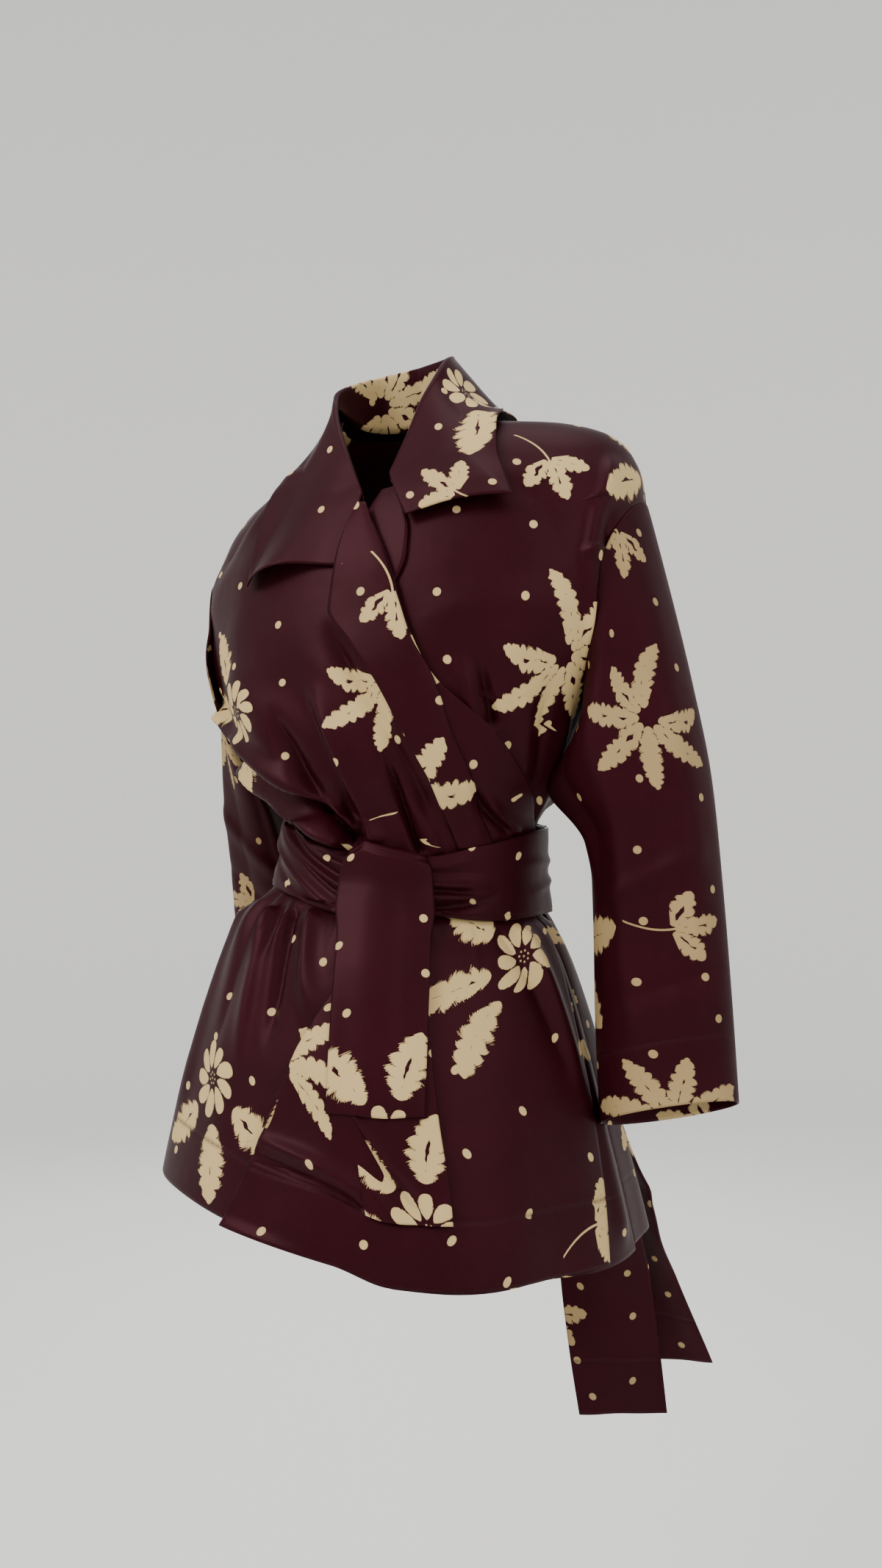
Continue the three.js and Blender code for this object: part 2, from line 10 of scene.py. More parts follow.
import bpy
import numpy as np
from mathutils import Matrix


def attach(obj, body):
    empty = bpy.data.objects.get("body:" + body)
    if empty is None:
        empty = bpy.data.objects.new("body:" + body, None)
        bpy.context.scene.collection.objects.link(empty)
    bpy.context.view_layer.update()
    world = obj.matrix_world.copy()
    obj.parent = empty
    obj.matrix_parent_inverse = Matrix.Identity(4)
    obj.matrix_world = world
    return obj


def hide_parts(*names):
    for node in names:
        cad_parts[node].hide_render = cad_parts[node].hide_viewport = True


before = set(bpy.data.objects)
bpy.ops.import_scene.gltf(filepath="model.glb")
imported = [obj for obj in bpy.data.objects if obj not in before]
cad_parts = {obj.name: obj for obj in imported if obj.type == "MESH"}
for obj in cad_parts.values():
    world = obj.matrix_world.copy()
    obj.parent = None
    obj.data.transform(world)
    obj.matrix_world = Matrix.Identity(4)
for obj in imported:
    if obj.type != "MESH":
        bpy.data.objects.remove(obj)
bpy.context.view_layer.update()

MM = 0.001
CLOTH = 1.1  # thickness of one layer of silk with its turned edge
SASH_CLOTH = 2.2  # the sash and the tie are two layers
LAYER = 6.5  # how far the right front lies outside the left one
UNDER_DEEP = 9  # how far the left front sinks where the right one covers it
SQUARE = 2.08  # how full the corners of a body ring are: 2 is an ellipse
NECK_Z = 24  # where the body surface ends, at the neck
HEM = -667
UNDER_HEM = -671  # the hem of the left front, a little below
LIFT_FROM = -400  # the hem is lifted more and more from here down
UNDER_SASH = -372  # the skirt's cone begins here, under the sash
SKIRT_FLARE = 0.27  # how fast the skirt widens down its slant
SEAM_TURN = 0.008  # half the gap of a side seam, as a turn
SEAM_DITCH = 1.1  # how far the back sinks into the side seams
SEAM_HALF = 3.5  # half the width of that ditch
ROUND = math.radians(118)  # mm across for each degree of turn, on the flat map of the folds
FOLD_DEPTH = 1.28  # how much the listed folds of the body panels are deepened
HEM_DEEP = 50  # depth of the turned hem
CUFF_DEEP = 43  # depth of the turned cuff


def table(columns, *rows):
    """Named columns from rows of numbers, as arrays."""
    return dict(zip(columns.split(), np.array(rows, float).T))


RINGS = table(
    "z right left front back",
    (24, 57, 60, 52, 44), (8, 64, 78, 60, 64), (-10, 84, 151, 69, 79), (-25, 127, 180, 78, 87),
    (-40, 154, 192, 86, 93), (-65, 172, 201, 98, 98), (-100, 179, 204, 109, 102),
    (-150, 177, 196, 119, 105), (-200, 165, 172, 125, 104), (-240, 155, 150, 125, 100),
    (-280, 136, 134, 121, 96), (-318, 95, 115, 104, 86), (-355, 93, 112, 99, 82),
    (-390, 108, 117, 103, 86), (-410, 132, 133, 118, 99), (-440, 144, 148, 131, 111),
    (-500, 160, 168, 148, 127), (-560, 174, 185, 162, 142), (-620, 191, 202, 174, 156),
    (-675, 200, 216, 182, 169),
)
STANCE = table("z tilt shift", (80, 0.11, -6), (-60, 0.11, 0), (-355, -0.08, -9), (-675, -0.03, -20))
HEM_LIFT = table(
    "turn up",
    (-180, 14), (-140, 30), (-85, 45), (-45, 42), (-15, 31), (8, 18), (22, 5), (60, 5), (140, 5), (180, 14),
)
ARMHOLE = {"side": 90, "middle": -152, "tall": 70, "wide": 17.5}
RIGHT_EDGE = table(
    "z turn",
    (24, -50), (8, -42), (-12, -33), (-35, -22), (-60, -8), (-78, 2), (-119, 12.5), (-170, 20.5),
    (-206, 29), (-241, 48), (-268, 60), (-299, 76), (-321, 84), (-394, 84), (-463, 81), (-554, 79),
    (-667, 74),
)
LEFT_EDGE = table(
    "z turn",
    (24, 50), (8, 42), (-12, 33), (-35, 22), (-60, 8), (-78, -3), (-145, -17), (-250, -38),
    (-318, -46), (-390, -40), (-450, -22), (-560, -4), (-675, 13),
)
REVERS_RIGHT = table(
    "z edge roll out",
    (-68, -3, 0.5, 12), (-83, -6.5, 4, 12), (-110, -9.5, 10.5, 12), (-150, -10.5, 17, 10),
    (-178, -1, 21.5, 9.5), (-205, 8.5, 28.5, 9.5), (-248, 19.5, 36, 9.5), (-285, 30, 46.5, 9.5),
    (-335, 43.5, 60, 9.5),
)
REVERS_LEFT = table(
    "z edge roll out",
    (-54, 12, 4.5, 2.6), (-75, 17, -2.5, 2.6), (-91, 19, -6.5, 2.6), (-112, 18.5, -11, 2.6),
    (-133, 14.5, -14, 2.6), (-148, 8, -16.5, 2.6),
)
COLLAR_LEFT = table(
    "at x y z turn edge",
    (0, -1, 32, 79, 180, 0), (0.13, 29, 20, 78, 154, 1), (0.27, 43, -5, 70, 124, 2),
    (0.46, 48, -34, 59, 84, 6), (0.57, 47, -45, 51, 59, -12), (0.68, 42, -57, 36, 53, -47),
    (0.79, 36, -68, 20, 52, -81), (0.9, 27, -82, -10, 36, -79), (1, 17, -98, -43, 18.5, -84),
)
COLLAR_RIGHT = table(
    "at x y z turn edge",
    (0, -1, 32, 79, -180, 0), (0.13, -31, 19, 74, -154, 0), (0.27, -45, -6, 65, -124, 0),
    (0.46, -52, -36, 51, -84, -4), (0.57, -50, -46, 42, -54, -27), (0.68, -46, -57, 32, -50, -66),
    (0.79, -40, -68, 16, -46.5, -119), (0.9, -25, -86, -16, -27, -111), (1, -5, -101, -58, -6, -117),
)
COLLAR_OUT = 9.5  # how far the leaf lies off the body
COLLAR_FOLD = 5  # thickness of the rounded fold
STAND_SEAM_Z = 27
STAND_FLARE = 9  # how far the stand's foot spreads at the back
STAND_FRONT = 6  # what is left of the stand at the front ends
SLEEVE_LEFT = table(
    "at outx outz inx inz y deep rise",
    (0, 206, -60, 170, -236, 0, 44, 0), (0.12, 219, -118, 160, -258, 0, 51, 0),
    (0.28, 238, -200, 133, -289, 2, 53, 0), (0.45, 256, -285, 158, -340, 0, 46, 0),
    (0.62, 266, -370, 163, -402, -6, 42, 0), (0.8, 274, -455, 167, -480, -15, 39, 5),
    (1, 281, -540, 173, -566, -24, 37, 12),
)
SLEEVE_RIGHT = table(
    "at outx outz inx inz y deep rise",
    (0, -181, -80, -170, -225, 0, 42, 0), (0.12, -181, -138, -164, -250, 4, 50, 0),
    (0.28, -184, -205, -146, -284, 20, 52, 0), (0.45, -200, -290, -139, -336, 48, 46, 0),
    (0.62, -215, -370, -139, -402, 84, 41, 0), (0.8, -234, -455, -150, -475, 124, 38, 0),
    (1, -254, -538, -164, -550, 160, 36, 0),
)
SASH = table(
    "turn top bottom",
    (-180, -320, -389), (-57, -325, -386), (-33, -333, -391), (-5, -343, -401), (14, -346, -399),
    (32, -342, -396), (53, -331, -398), (90, -317, -395), (180, -320, -389),
)
SASH_OUT = 12.5
SASH_WIDE = 70
TAIL_UPPER = table(
    "z turn wide out",
    (-337, 14, 60, 15), (-342, 14, 65, 17.5), (-352, 14, 67, 18), (-390, 14.5, 69, 18.8),
    (-425, 15.3, 70, 17.5), (-480, 15.8, 70, 16), (-544, 16.3, 70, 16),
)
TAIL_LOWER = table(
    "z turn wide out",
    (-403, 15, 54, 11), (-450, 17, 58, 11), (-545, 21, 63, 12.5), (-590, 23.5, 64, 13), (-619, 25, 61, 13),
)
TIE_WRAP = {"turn": 128, "half": 13, "top": -315, "bottom": -396, "out": 16.5}
TIE_LONG = table(
    "z turn out wide face",
    (-401, 130, 8, 52, 130), (-470, 131, 9, 66, 131), (-560, 133.5, 10, 76, 133),
    (-650, 136, 13, 82, 138), (-700, 136, 22, 84, 160), (-756, 135, 31, 85, 188),
    (-828, 133, 37, 86, 201), (-882, 132, 43, 84, 204),
)
TIE_SHORT = table(
    "z turn out wide face",
    (-401, 126, 15, 48, 126), (-470, 129, 20, 58, 129), (-560, 132.5, 28, 64, 133),
    (-650, 135, 42, 68, 139), (-700, 135, 54, 70, 152), (-756, 133.5, 72, 71, 180),
    (-844, 131.5, 108, 72, 200),
)

# Broad forms of the worn cloth, from one end (turn, z) to the other, with their half-width in degrees
# on the side of smaller and of larger turn, and the share of the depth at either end.
FORMS = [
    (-50, -405, -30, -600, 6, 8, 6, 0.6, 0.3),
    (-104, -420, -108, -675, 9, 12, 10, 0.1, 1),
    (-150, -420, -152, -675, 9, 10, 7, 0.1, 1),
    (178, -425, 180, -675, 11, 11, 13, 0.1, 1),
    (142, -420, 146, -675, 11, 10, 11, 0.1, 1),
    (100, -405, 106, -675, 8, 10, 11, 0.4, 1),
    (26, -440, 36, -675, 14, 16, 9, 0, 1),
    (62, -440, 60, -675, 10, 12, -7, 0, 1),
    (-62, -190, -14, -318, 10, 7, 9, 0.2, 0.8),
    (-40, -150, 4, -310, 8, 8, -6, 0.1, 0.9),
    (-74, -105, -76, -235, 17, 10, 13, 0.6, 0.9),
    (34, -200, 47, -300, 8, 8, -5, 0.3, 0.8),
    (-150, -230, -152, -300, 9, 9, 6, 0.2, 1),
    (150, -230, 152, -300, 9, 9, 6, 0.2, 1),
]
# The deep pleat of the right front: its crest (turn by height) and how far it is drawn over itself.
PLEAT = table(
    "z turn over high",
    (-405, 5, 0, 0), (-430, 2, 0.3, 0.3), (-475, -3, 0.8, 0.6), (-520, -7, 1.0, 0.8),
    (-580, -11.5, 1.0, 0.95), (-640, -15.5, 1.1, 1.05), (-675, -17.5, 1.2, 1.25),
)
PLEAT_DRAW = 3.1  # how many times its own width the pleat is drawn over
PLEAT_HALF = 5.4  # half its width, as a turn
PLEAT_FALL = 17  # how slowly its back slope falls, as a turn
PLEAT_HIGH = 13


def read(rows, by, key, where):
    """A column on a smooth curve through its rows that never overshoots: cubic pieces whose slopes are
    the harmonic mean of the rises on either side, and level where the rises change sign."""
    order = np.argsort(rows[by])
    x, y = rows[by][order], rows[key][order]
    rise = np.diff(y) / np.diff(x)
    product = rise[:-1] * rise[1:]
    both = np.where(product > 0, rise[:-1] + rise[1:], 1)
    slope = np.concatenate([rise[:1], np.where(product > 0, 2 * product / both, 0), rise[-1:]])
    where = np.clip(where, x[0], x[-1])
    i = np.clip(np.searchsorted(x, where, side="right") - 1, 0, len(x) - 2)
    step = x[i + 1] - x[i]
    t = (where - x[i]) / step
    level = y[i] * (1 + 2 * t) * (1 - t) ** 2 + y[i + 1] * t * t * (3 - 2 * t)
    return level + step * (slope[i] * t * (1 - t) ** 2 - slope[i + 1] * t * t * (1 - t))


def smooth(low, high, value):
    """0 below low, 1 above high, with level ends between."""
    t = np.clip((value - low) / (high - low), 0, 1)
    return t * t * (3 - 2 * t)


def bell(off, wide):
    """1 at no distance off, dying away to both sides over about the given width."""
    return np.exp(-((off / wide) ** 2))


def turn_between(start, end):
    """The shorter way round from one turn to another, from -180 to 180."""
    return (end - start + 540) % 360 - 180


def forms(turn, z):
    """All broad forms together: each is a bell across its line, with its own half-width on each side,
    and its depth runs from one end's share to the other's."""
    total = np.zeros(np.broadcast(turn, z).shape)
    for t0, z0, t1, z1, before, after, deep, start, end in FORMS:
        along = (z0 - z) / (z0 - z1)
        kept = np.clip(along, 0, 1)
        across = turn_between(t0 + (t1 - t0) * kept, turn)
        wide = np.where(across < 0, before, after)
        share = (start + (end - start) * kept) * bell(along - kept, 0.2)
        total += deep * share * bell(across, wide)
    return total


def body(turn, z, extra=0):
    """The worn body surface before the stance: at each height an oval of changing reach, plus the broad
    forms and any extra reach, with the hem lifted round the hip."""
    side, ahead = np.sin(np.radians(turn)), np.cos(np.radians(turn))
    across = np.where(side > 0, read(RINGS, "z", "left", z), read(RINGS, "z", "right", z))
    along = np.where(ahead > 0, read(RINGS, "z", "front", z), read(RINGS, "z", "back", z))
    full = (np.abs(side) / across) ** SQUARE + (np.abs(ahead) / along) ** SQUARE
    reach = full ** (-1 / SQUARE) + forms(turn, z) + extra
    share = np.clip((z - LIFT_FROM) / (HEM - LIFT_FROM), 0, 1)
    up = share * read(HEM_LIFT, "turn", "up", turn_between(0, turn))
    return np.stack([reach * side, -reach * ahead, z + up], -1)


def unit(vectors):
    """The same directions with length 1."""
    return vectors / np.maximum(np.linalg.norm(vectors, axis=-1, keepdims=True), 1e-9)


def moved(turn, z, out):
    """The body surface moved out along its own normal."""
    turn, z = np.broadcast_arrays(np.asarray(turn, float), np.asarray(z, float))
    along = body(turn + 0.5, z) - body(turn - 0.5, z)
    up = body(turn, z + 1) - body(turn, z - 1)
    return body(turn, z) + unit(np.cross(along, up)) * np.asarray(out)[..., None]


def stand(points):
    """The wearer's stance: each height shifts and tilts sideways."""
    tilt = read(STANCE, "z", "tilt", points[..., 2])
    shift = read(STANCE, "z", "shift", points[..., 2])
    lean = np.stack([shift, np.zeros_like(shift), tilt * points[..., 0]], -1)
    return points + lean


# Folds listed for the body: the points they pass through as (turn, z), the half-width in mm on the right and
# left of the way they run, the height of the ridge (below 0 is a trough), and the share of their length over
# which they rise and die away.
FRONT_RIGHT_FOLDS = [
    # the deep drag folds that run from the side down to the tie
    ([(-78, -222), (-54, -264), (-25, -284), (1, -331)], 4, 6, 8.5, 0.1, 0.06),
    ([(-34, -222), (-25, -262), (-17, -292), (-10, -318)], 7, 6, -8.5, 0.35, 0.1),
    ([(-62, -272), (-30, -289), (-12, -319), (-2, -337)], 2.4, 3.0, -11.5, 0.2, 0.05),
    ([(-72, -274), (-44, -297), (-25, -312), (-6, -338)], 7, 5, 13.0, 0.1, 0.1),
    ([(-18, -200), (-6, -254), (3, -294), (10, -336)], 6, 8, 7.0, 0.35, 0.06),
    ([(-78, -252), (-62, -276), (-46, -292), (-30, -302)], 5, 4, -4.0, 0.3, 0.3),
    ([(-70, -240), (-56, -252), (-43, -262), (-30, -281)], 3.5, 3.5, 2.6, 0.3, 0.3),
    ([(-60, -180), (-46, -210), (-34, -240), (-20, -268)], 17, 15, 4.5, 0.4, 0.4),
    ([(-84, -190), (-72, -222), (-60, -246), (-48, -264)], 5, 6, -3.6, 0.3, 0.35),
    # the shorter folds just above the tie
    ([(-5, -272), (-4, -298), (-3, -320), (2, -336)], 4.5, 4.5, -5.0, 0.5, 0.05),
    ([(5, -282), (7, -302), (9, -322), (12, -342)], 5, 6, 2.6, 0.5, 0.05),
    ([(12, -256), (18, -292), (24, -324), (29, -342)], 2.2, 3.4, -10.0, 0.4, 0.05),
    ([(20, -286), (26, -306), (32, -324), (36, -339)], 5, 4, 2.6, 0.4, 0.05),
    # the hollow beside the revers
    ([(-14, -156), (3, -212), (16, -256), (34, -318)], 9, 6, -6.5, 0.25, 0.15),
    # the shoulder's drape
    ([(-50, -22), (-52, -42), (-59, -62), (-65, -96)], 6, 8, 2.2, 0.3, 0.5),
    ([(-60, -30), (-64, -56), (-70, -86), (-76, -128)], 7, 7, -2.2, 0.3, 0.5),
    ([(-76, -120), (-72, -160), (-70, -200), (-72, -236)], 8, 10, -2.6, 0.3, 0.3),
    # on the far side, past the crossing
    ([(44, -280), (49, -294), (56, -307), (67, -320)], 2.4, 3, -4.6, 0.4, 0.05),
    ([(50, -284), (55, -297), (63, -310), (73, -321)], 3.5, 3, 3.4, 0.4, 0.05),
    ([(38, -262), (42, -284), (48, -306), (53, -330)], 5, 5, 2.0, 0.4, 0.1),
    # the skirt, hanging from the sash
    ([(-36, -404), (-33, -440), (-31, -492), (-27, -560)], 8, 5, 4.6, 0.08, 0.4),
    ([(-18, -398), (-14, -424), (-11, -462), (-9, -505)], 4.5, 7, 4.6, 0.08, 0.4),
    ([(-27, -400), (-24, -430), (-21, -470), (-20, -530)], 3.5, 5, -7.5, 0.08, 0.4),
    ([(-33, -402), (-31, -416), (-30, -434), (-30, -456)], 2.2, 2.4, -3.4, 0.1, 0.7),
    ([(-29, -402), (-27.5, -414), (-27, -428), (-27, -446)], 2.0, 2.0, 2.6, 0.1, 0.7),
    ([(-37, -402), (-36, -420), (-36, -440), (-37, -466)], 2.6, 2.2, 2.8, 0.1, 0.7),
    # the pull along the top of the turned hem, and the loose cloth above it
    ([(-9, -603), (0, -606), (7, -612), (16, -619)], 1.8, 2.6, -5.0, 0.4, 0.12),
    ([(-6, -588), (2, -592), (8, -600), (15, -607)], 5, 6, 4.0, 0.4, 0.2),
    ([(16, -619), (24, -617), (32, -617), (40, -617)], 2.2, 2.4, -1.8, 0.05, 0.6),
    ([(-46, -402), (-43, -440), (-41, -490), (-40, -560)], 6, 7, -3.2, 0.08, 0.4),
    ([(-62, -404), (-60, -470), (-56, -540), (-52, -640)], 12, 9, 4.5, 0.12, 0.3),
    ([(-76, -404), (-74, -470), (-72, -560), (-72, -660)], 9, 9, -4.0, 0.12, 0.2),
    ([(58, -402), (63, -430), (68, -470), (72, -520)], 5, 5, -2.6, 0.1, 0.5),
    ([(68, -402), (72, -440), (75, -500), (76, -580)], 6, 6, 4.0, 0.1, 0.4),
    ([(4, -520), (2, -570), (-1, -620), (-4, -667)], 12, 10, -2.6, 0.4, 0.1),
]
FRONT_LEFT_FOLDS = [
    # the front's fold beside the armhole, from the shoulder down
    ([(81, -40), (76, -68), (72, -94), (70, -124)], 3.0, 8, 4.6, 0.35, 0.02),
    ([(70, -118), (71, -146), (74, -176), (82, -212)], 3.0, 8, 4.6, 0.02, 0.25),
    ([(76, -84), (75, -116), (77, -150), (82, -190)], 3, 3, -3.5, 0.3, 0.3),
    # the short pull beside the crossing
    ([(42, -188), (44.5, -206), (47, -222), (50, -243)], 2.6, 3.4, -8.0, 0.6, 0.02),
    ([(36, -186), (39, -206), (42, -226), (45, -244)], 5, 4, 3.4, 0.5, 0.1),
    # soft drags across the chest and down the side
    ([(20, -166), (36, -158), (50, -152), (64, -150)], 13, 15, 1.8, 0.4, 0.4),
    ([(66, -198), (68, -226), (72, -262), (77, -306)], 6, 6, -4.0, 0.35, 0.1),
    ([(58, -210), (62, -244), (67, -280), (72, -316)], 7, 6, 2.4, 0.35, 0.1),
    ([(78, -222), (81, -252), (84, -286), (87, -316)], 6, 5, 4.0, 0.3, 0.1),
    ([(50, -52), (58, -74), (62, -102), (62, -134)], 11, 12, -2.0, 0.4, 0.5),
    ([(84, -404), (84, -470), (84, -560), (84, -668)], 7, 7, 4.0, 0.15, 0.1),
]
BACK_FOLDS = [
    ([(108, -226), (116, -262), (126, -296), (132, -318)], 7, 6, 4.6, 0.3, 0.1),
    ([(120, -200), (132, -246), (142, -288), (150, -318)], 9, 7, -3.6, 0.35, 0.1),
    ([(100, -260), (106, -282), (110, -300), (112, -316)], 5, 5, 4.0, 0.3, 0.1),
    ([(150, -90), (156, -150), (162, -220), (166, -312)], 14, 12, 3.6, 0.35, 0.15),
    ([(172, -190), (174, -232), (175, -272), (176, -316)], 8, 7, -3.8, 0.35, 0.1),
    ([(188, -150), (190, -210), (189, -260), (188, -316)], 9, 8, 4.2, 0.35, 0.1),
    ([(206, -200), (204, -240), (202, -280), (200, -316)], 7, 7, -3.4, 0.35, 0.1),
    ([(216, -100), (214, -160), (212, -230), (210, -314)], 12, 14, 4.0, 0.35, 0.12),
    ([(236, -210), (232, -246), (228, -282), (224, -316)], 8, 6, -4.2, 0.3, 0.1),
    ([(250, -226), (246, -256), (240, -286), (236, -316)], 6, 7, 4.8, 0.3, 0.1),
    ([(262, -240), (258, -268), (254, -292), (250, -316)], 5, 5, -3.4, 0.3, 0.1),
    ([(104, -205), (107, -238), (109, -270), (111, -306)], 13, 13, 8.0, 0.3, 0.3),
    ([(124, -400), (122, -460), (124, -540), (126, -667)], 8, 8, -4.5, 0.12, 0.1),
    ([(158, -402), (160, -450), (161, -520), (162, -600)], 8, 9, 4.2, 0.12, 0.4),
    ([(196, -402), (198, -460), (200, -540), (202, -667)], 9, 8, -4.6, 0.12, 0.1),
    ([(222, -402), (224, -460), (228, -540), (232, -667)], 9, 10, 4.4, 0.12, 0.1),
    ([(240, -402), (243, -450), (246, -520), (250, -610)], 8, 7, -4.0, 0.12, 0.4),
    ([(262, -402), (261, -470), (259, -560), (257, -667)], 8, 8, 3.8, 0.12, 0.1),
]


def way(points, count=22):
    """A smooth way through four points: one cubic (Bezier) curve that passes near the middle two."""
    p = np.array(points, float)
    t = np.linspace(0, 1, count)[:, None]
    one, two = p[1] * 1.5 - (p[0] + p[3]) * 0.25, p[2] * 1.5 - (p[0] + p[3]) * 0.25
    return (1 - t) ** 3 * p[0] + 3 * t * (1 - t) ** 2 * one + 3 * t * t * (1 - t) * two + t**3 * p[3]


def folds(x, z, list_of_folds, scale):
    """Listed folds over a flat map (x across in mm, z up in mm): at each place the nearest point of the fold's
    way gives the distance across it and the share along it, and the height is a bell across times a rise and
    fall along. Troughs are sharper than ridges. scale turns the folds' first coordinate into mm."""
    total = np.zeros(x.shape)
    for points, right, left, high, rise, fade in list_of_folds:
        line = way(points)
        line[:, 0] *= scale
        a, b = line[:-1], line[1:]
        near = np.full(x.shape, 1e9)
        share = np.zeros(x.shape)
        hand = np.zeros(x.shape)
        for k, (start, end) in enumerate(zip(a, b)):
            step = end - start
            dx, dz = x - start[0], z - start[1]
            t = np.clip((dx * step[0] + dz * step[1]) / (step @ step), 0, 1)
            gap = np.hypot(dx - t * step[0], dz - t * step[1])
            closer = gap < near
            near = np.where(closer, gap, near)
            share = np.where(closer, (k + t) / len(a), share)
            hand = np.where(closer, step[0] * dz - step[1] * dx, hand)
        wide = np.where(hand > 0, left, right)
        power = 2.0 if high > 0 else 1.4
        total += high * smooth(0, rise, share) * smooth(0, fade, 1 - share) * np.exp(-((near / wide) ** power))
    return total


def gathers(turn, z, seed, edge_z, run, spacing, high):
    """Small gathers that leave an edge downwards (run above 0) or upwards: irregular ridges, each with
    its own place, width, length, slant and height, all drawn from one seeded set."""
    rng = np.random.default_rng(seed)
    total = np.zeros(np.broadcast(turn, z).shape)
    place = -180 + spacing * rng.random()
    while place < 180:
        wide, long = spacing * rng.uniform(0.16, 0.38), run * rng.uniform(0.3, 1.3)
        gone = np.maximum(0, (edge_z - z) / long)
        across = turn_between(place + rng.uniform(-3, 3) * gone, turn)
        spread = wide * (1 + 0.8 * gone)
        total += high * rng.uniform(0.3, 1) * bell(across, spread) * np.exp(-1.4 * gone**2)
        place += spacing * rng.uniform(0.55, 1.5)
    return total


def ripple(x, z, high, long, seed):
    """The slight unevenness of hanging silk: five long waves that cross, with seeded directions."""
    rng = np.random.default_rng(seed)
    total = 0
    for _ in range(5):
        angle, phase = rng.uniform(0, math.pi), rng.uniform(0, 2 * math.pi)
        wave = long * rng.uniform(0.7, 1.6)
        total = total + np.sin((x * math.cos(angle) + 0.45 * z * math.sin(angle)) * 2 * math.pi / wave + phase)
    return high * total / 2.5


def arc(points, axis):
    """Length walked along the grid from its first row or column."""
    step = np.linalg.norm(np.diff(points, axis=axis), axis=-1)
    start = np.zeros_like(np.take(step, [0], axis=axis))
    return np.concatenate([start, np.cumsum(step, axis=axis)], axis=axis)


def at_column(values, column):
    """Each row's value at a column that may lie between two or beyond the last."""
    low = np.clip(np.floor(column).astype(int), 0, values.shape[1] - 2)
    start = np.take_along_axis(values, low, 1)
    return start + (np.take_along_axis(values, low + 1, 1) - start) * (column - low)


# The order of a face's corners on the grid, as (row, column).
CORNERS = ((0, 0), (1, 0), (1, 1), (0, 1))


def grid_object(name, points, joined=False):
    """An object with smooth faces between the places of a grid (rows, columns), in metres. A joined grid
    ends where it starts. The second result is the grid's place number at each corner of each face."""
    rows, columns = points.shape[:2]
    kept = columns - 1 if joined else columns
    i, j = (part.ravel() for part in np.meshgrid(np.arange(rows - 1), np.arange(columns - 1), indexing="ij"))
    faces = np.stack([(i + a) * kept + (j + b) % kept for a, b in CORNERS], 1)
    corners = np.stack([(i + a) * columns + j + b for a, b in CORNERS], 1).ravel()
    mesh = bpy.data.meshes.new(name)
    mesh.from_pydata(points[:, :kept].reshape(-1, 3).tolist(), [], faces.tolist())
    mesh.polygons.foreach_set("use_smooth", np.ones(len(mesh.polygons), bool))
    made = bpy.data.objects.new(name, mesh)
    bpy.context.scene.collection.objects.link(made)
    return made, corners


def cloth_mesh(name, points, run=None, closed=False, thick=CLOTH):
    """A sheet of cloth from a grid of points (rows down, columns round), with its wall made inwards. Two
    maps go with it, in metres: 'cloth' is the run of the cloth itself, across and down, which the print
    follows, and 'edge' is how far a place lies from the nearer side edge and from the lower edge."""
    across, down = arc(points, 1), arc(points, 0)
    side, low = np.minimum(across, across[:, -1:] - across), down[-1:, :] - down
    u, v = run or (across - across[:, points.shape[1] // 2, None], -down)
    piece, corners = grid_object(name, points * MM, closed)
    for map_name, one, two in (("cloth", u, v), ("edge", side, low)):
        uv = np.stack(np.broadcast_arrays(one, two), -1).reshape(-1, 2)[corners] * MM
        piece.data.uv_layers.new(name=map_name).data.foreach_set("uv", uv.astype(np.float32).ravel())
    wall = piece.modifiers.new("wall", "SOLIDIFY")
    wall.thickness, wall.offset, wall.material_offset = thick * MM, -1, 1
    wall.use_even_offset = False
    return piece


def pleated(turn, z):
    """The right front's pleat: the turns once the cloth is drawn over itself, most at the crest, and the
    height that it adds, which rises steeply to the crest and falls away slowly behind it."""
    off = turn - (read(PLEAT, "z", "turn", z) + PLEAT_HALF * 0.8)
    drawn = PLEAT_DRAW * read(PLEAT, "z", "over", z) * off * np.exp(-((off / PLEAT_HALF) ** 2) / 2)
    rise = smooth(-PLEAT_HALF, PLEAT_HALF, off) * bell(np.maximum(off - PLEAT_HALF, 0), PLEAT_FALL)
    return turn - drawn, PLEAT_HIGH * read(PLEAT, "z", "high", z) * rise


def bound_by_sash(turn, z, extra, seed):
    """Adds the gathers below and above the sash, lower where the front lies plain on the wearer's left of
    the tie. What the sash covers is pressed nearly flat."""
    top, low = (read(SASH, "turn", edge, turn_between(0, turn)) for edge in ("top", "bottom"))
    plain = 1 - 0.75 * smooth(10, 34, turn) * smooth(96, 84, turn)
    below, above = smooth(-6, 6, low - z), smooth(-6, 4, z - top)
    extra = extra + gathers(turn, z, seed, low, 50, 5.5, 3.4) * below * plain
    extra = extra + gathers(turn, z, seed + 1, top, -24, 8, 1.6) * above * plain
    pressed = smooth(8, -4, np.abs(z - (top + low) / 2) - (top - low) / 2)
    return extra * (1 - 0.85 * pressed)


def panel_run(points, turn, z, grain):
    """The cloth's own run, across and down, measured from the turn named grain: straight round the
    bodice, and round the skirt as on a cone laid flat, whose slant grows with the girth."""
    line = body(grain, z)
    across = arc(points, 1)
    share = (grain - turn[:, :1]) / (turn[:, -1:] - turn[:, :1])
    across = across - at_column(across, share * (turn.shape[1] - 1))
    slant = np.linalg.norm(line[..., :2], axis=-1) / SKIRT_FLARE
    skirt = z < UNDER_SASH
    drop = np.where(skirt, slant * (1 - np.cos(across / slant)), 0)
    return np.where(skirt, slant * np.sin(across / slant), across), drop - arc(line, 0)


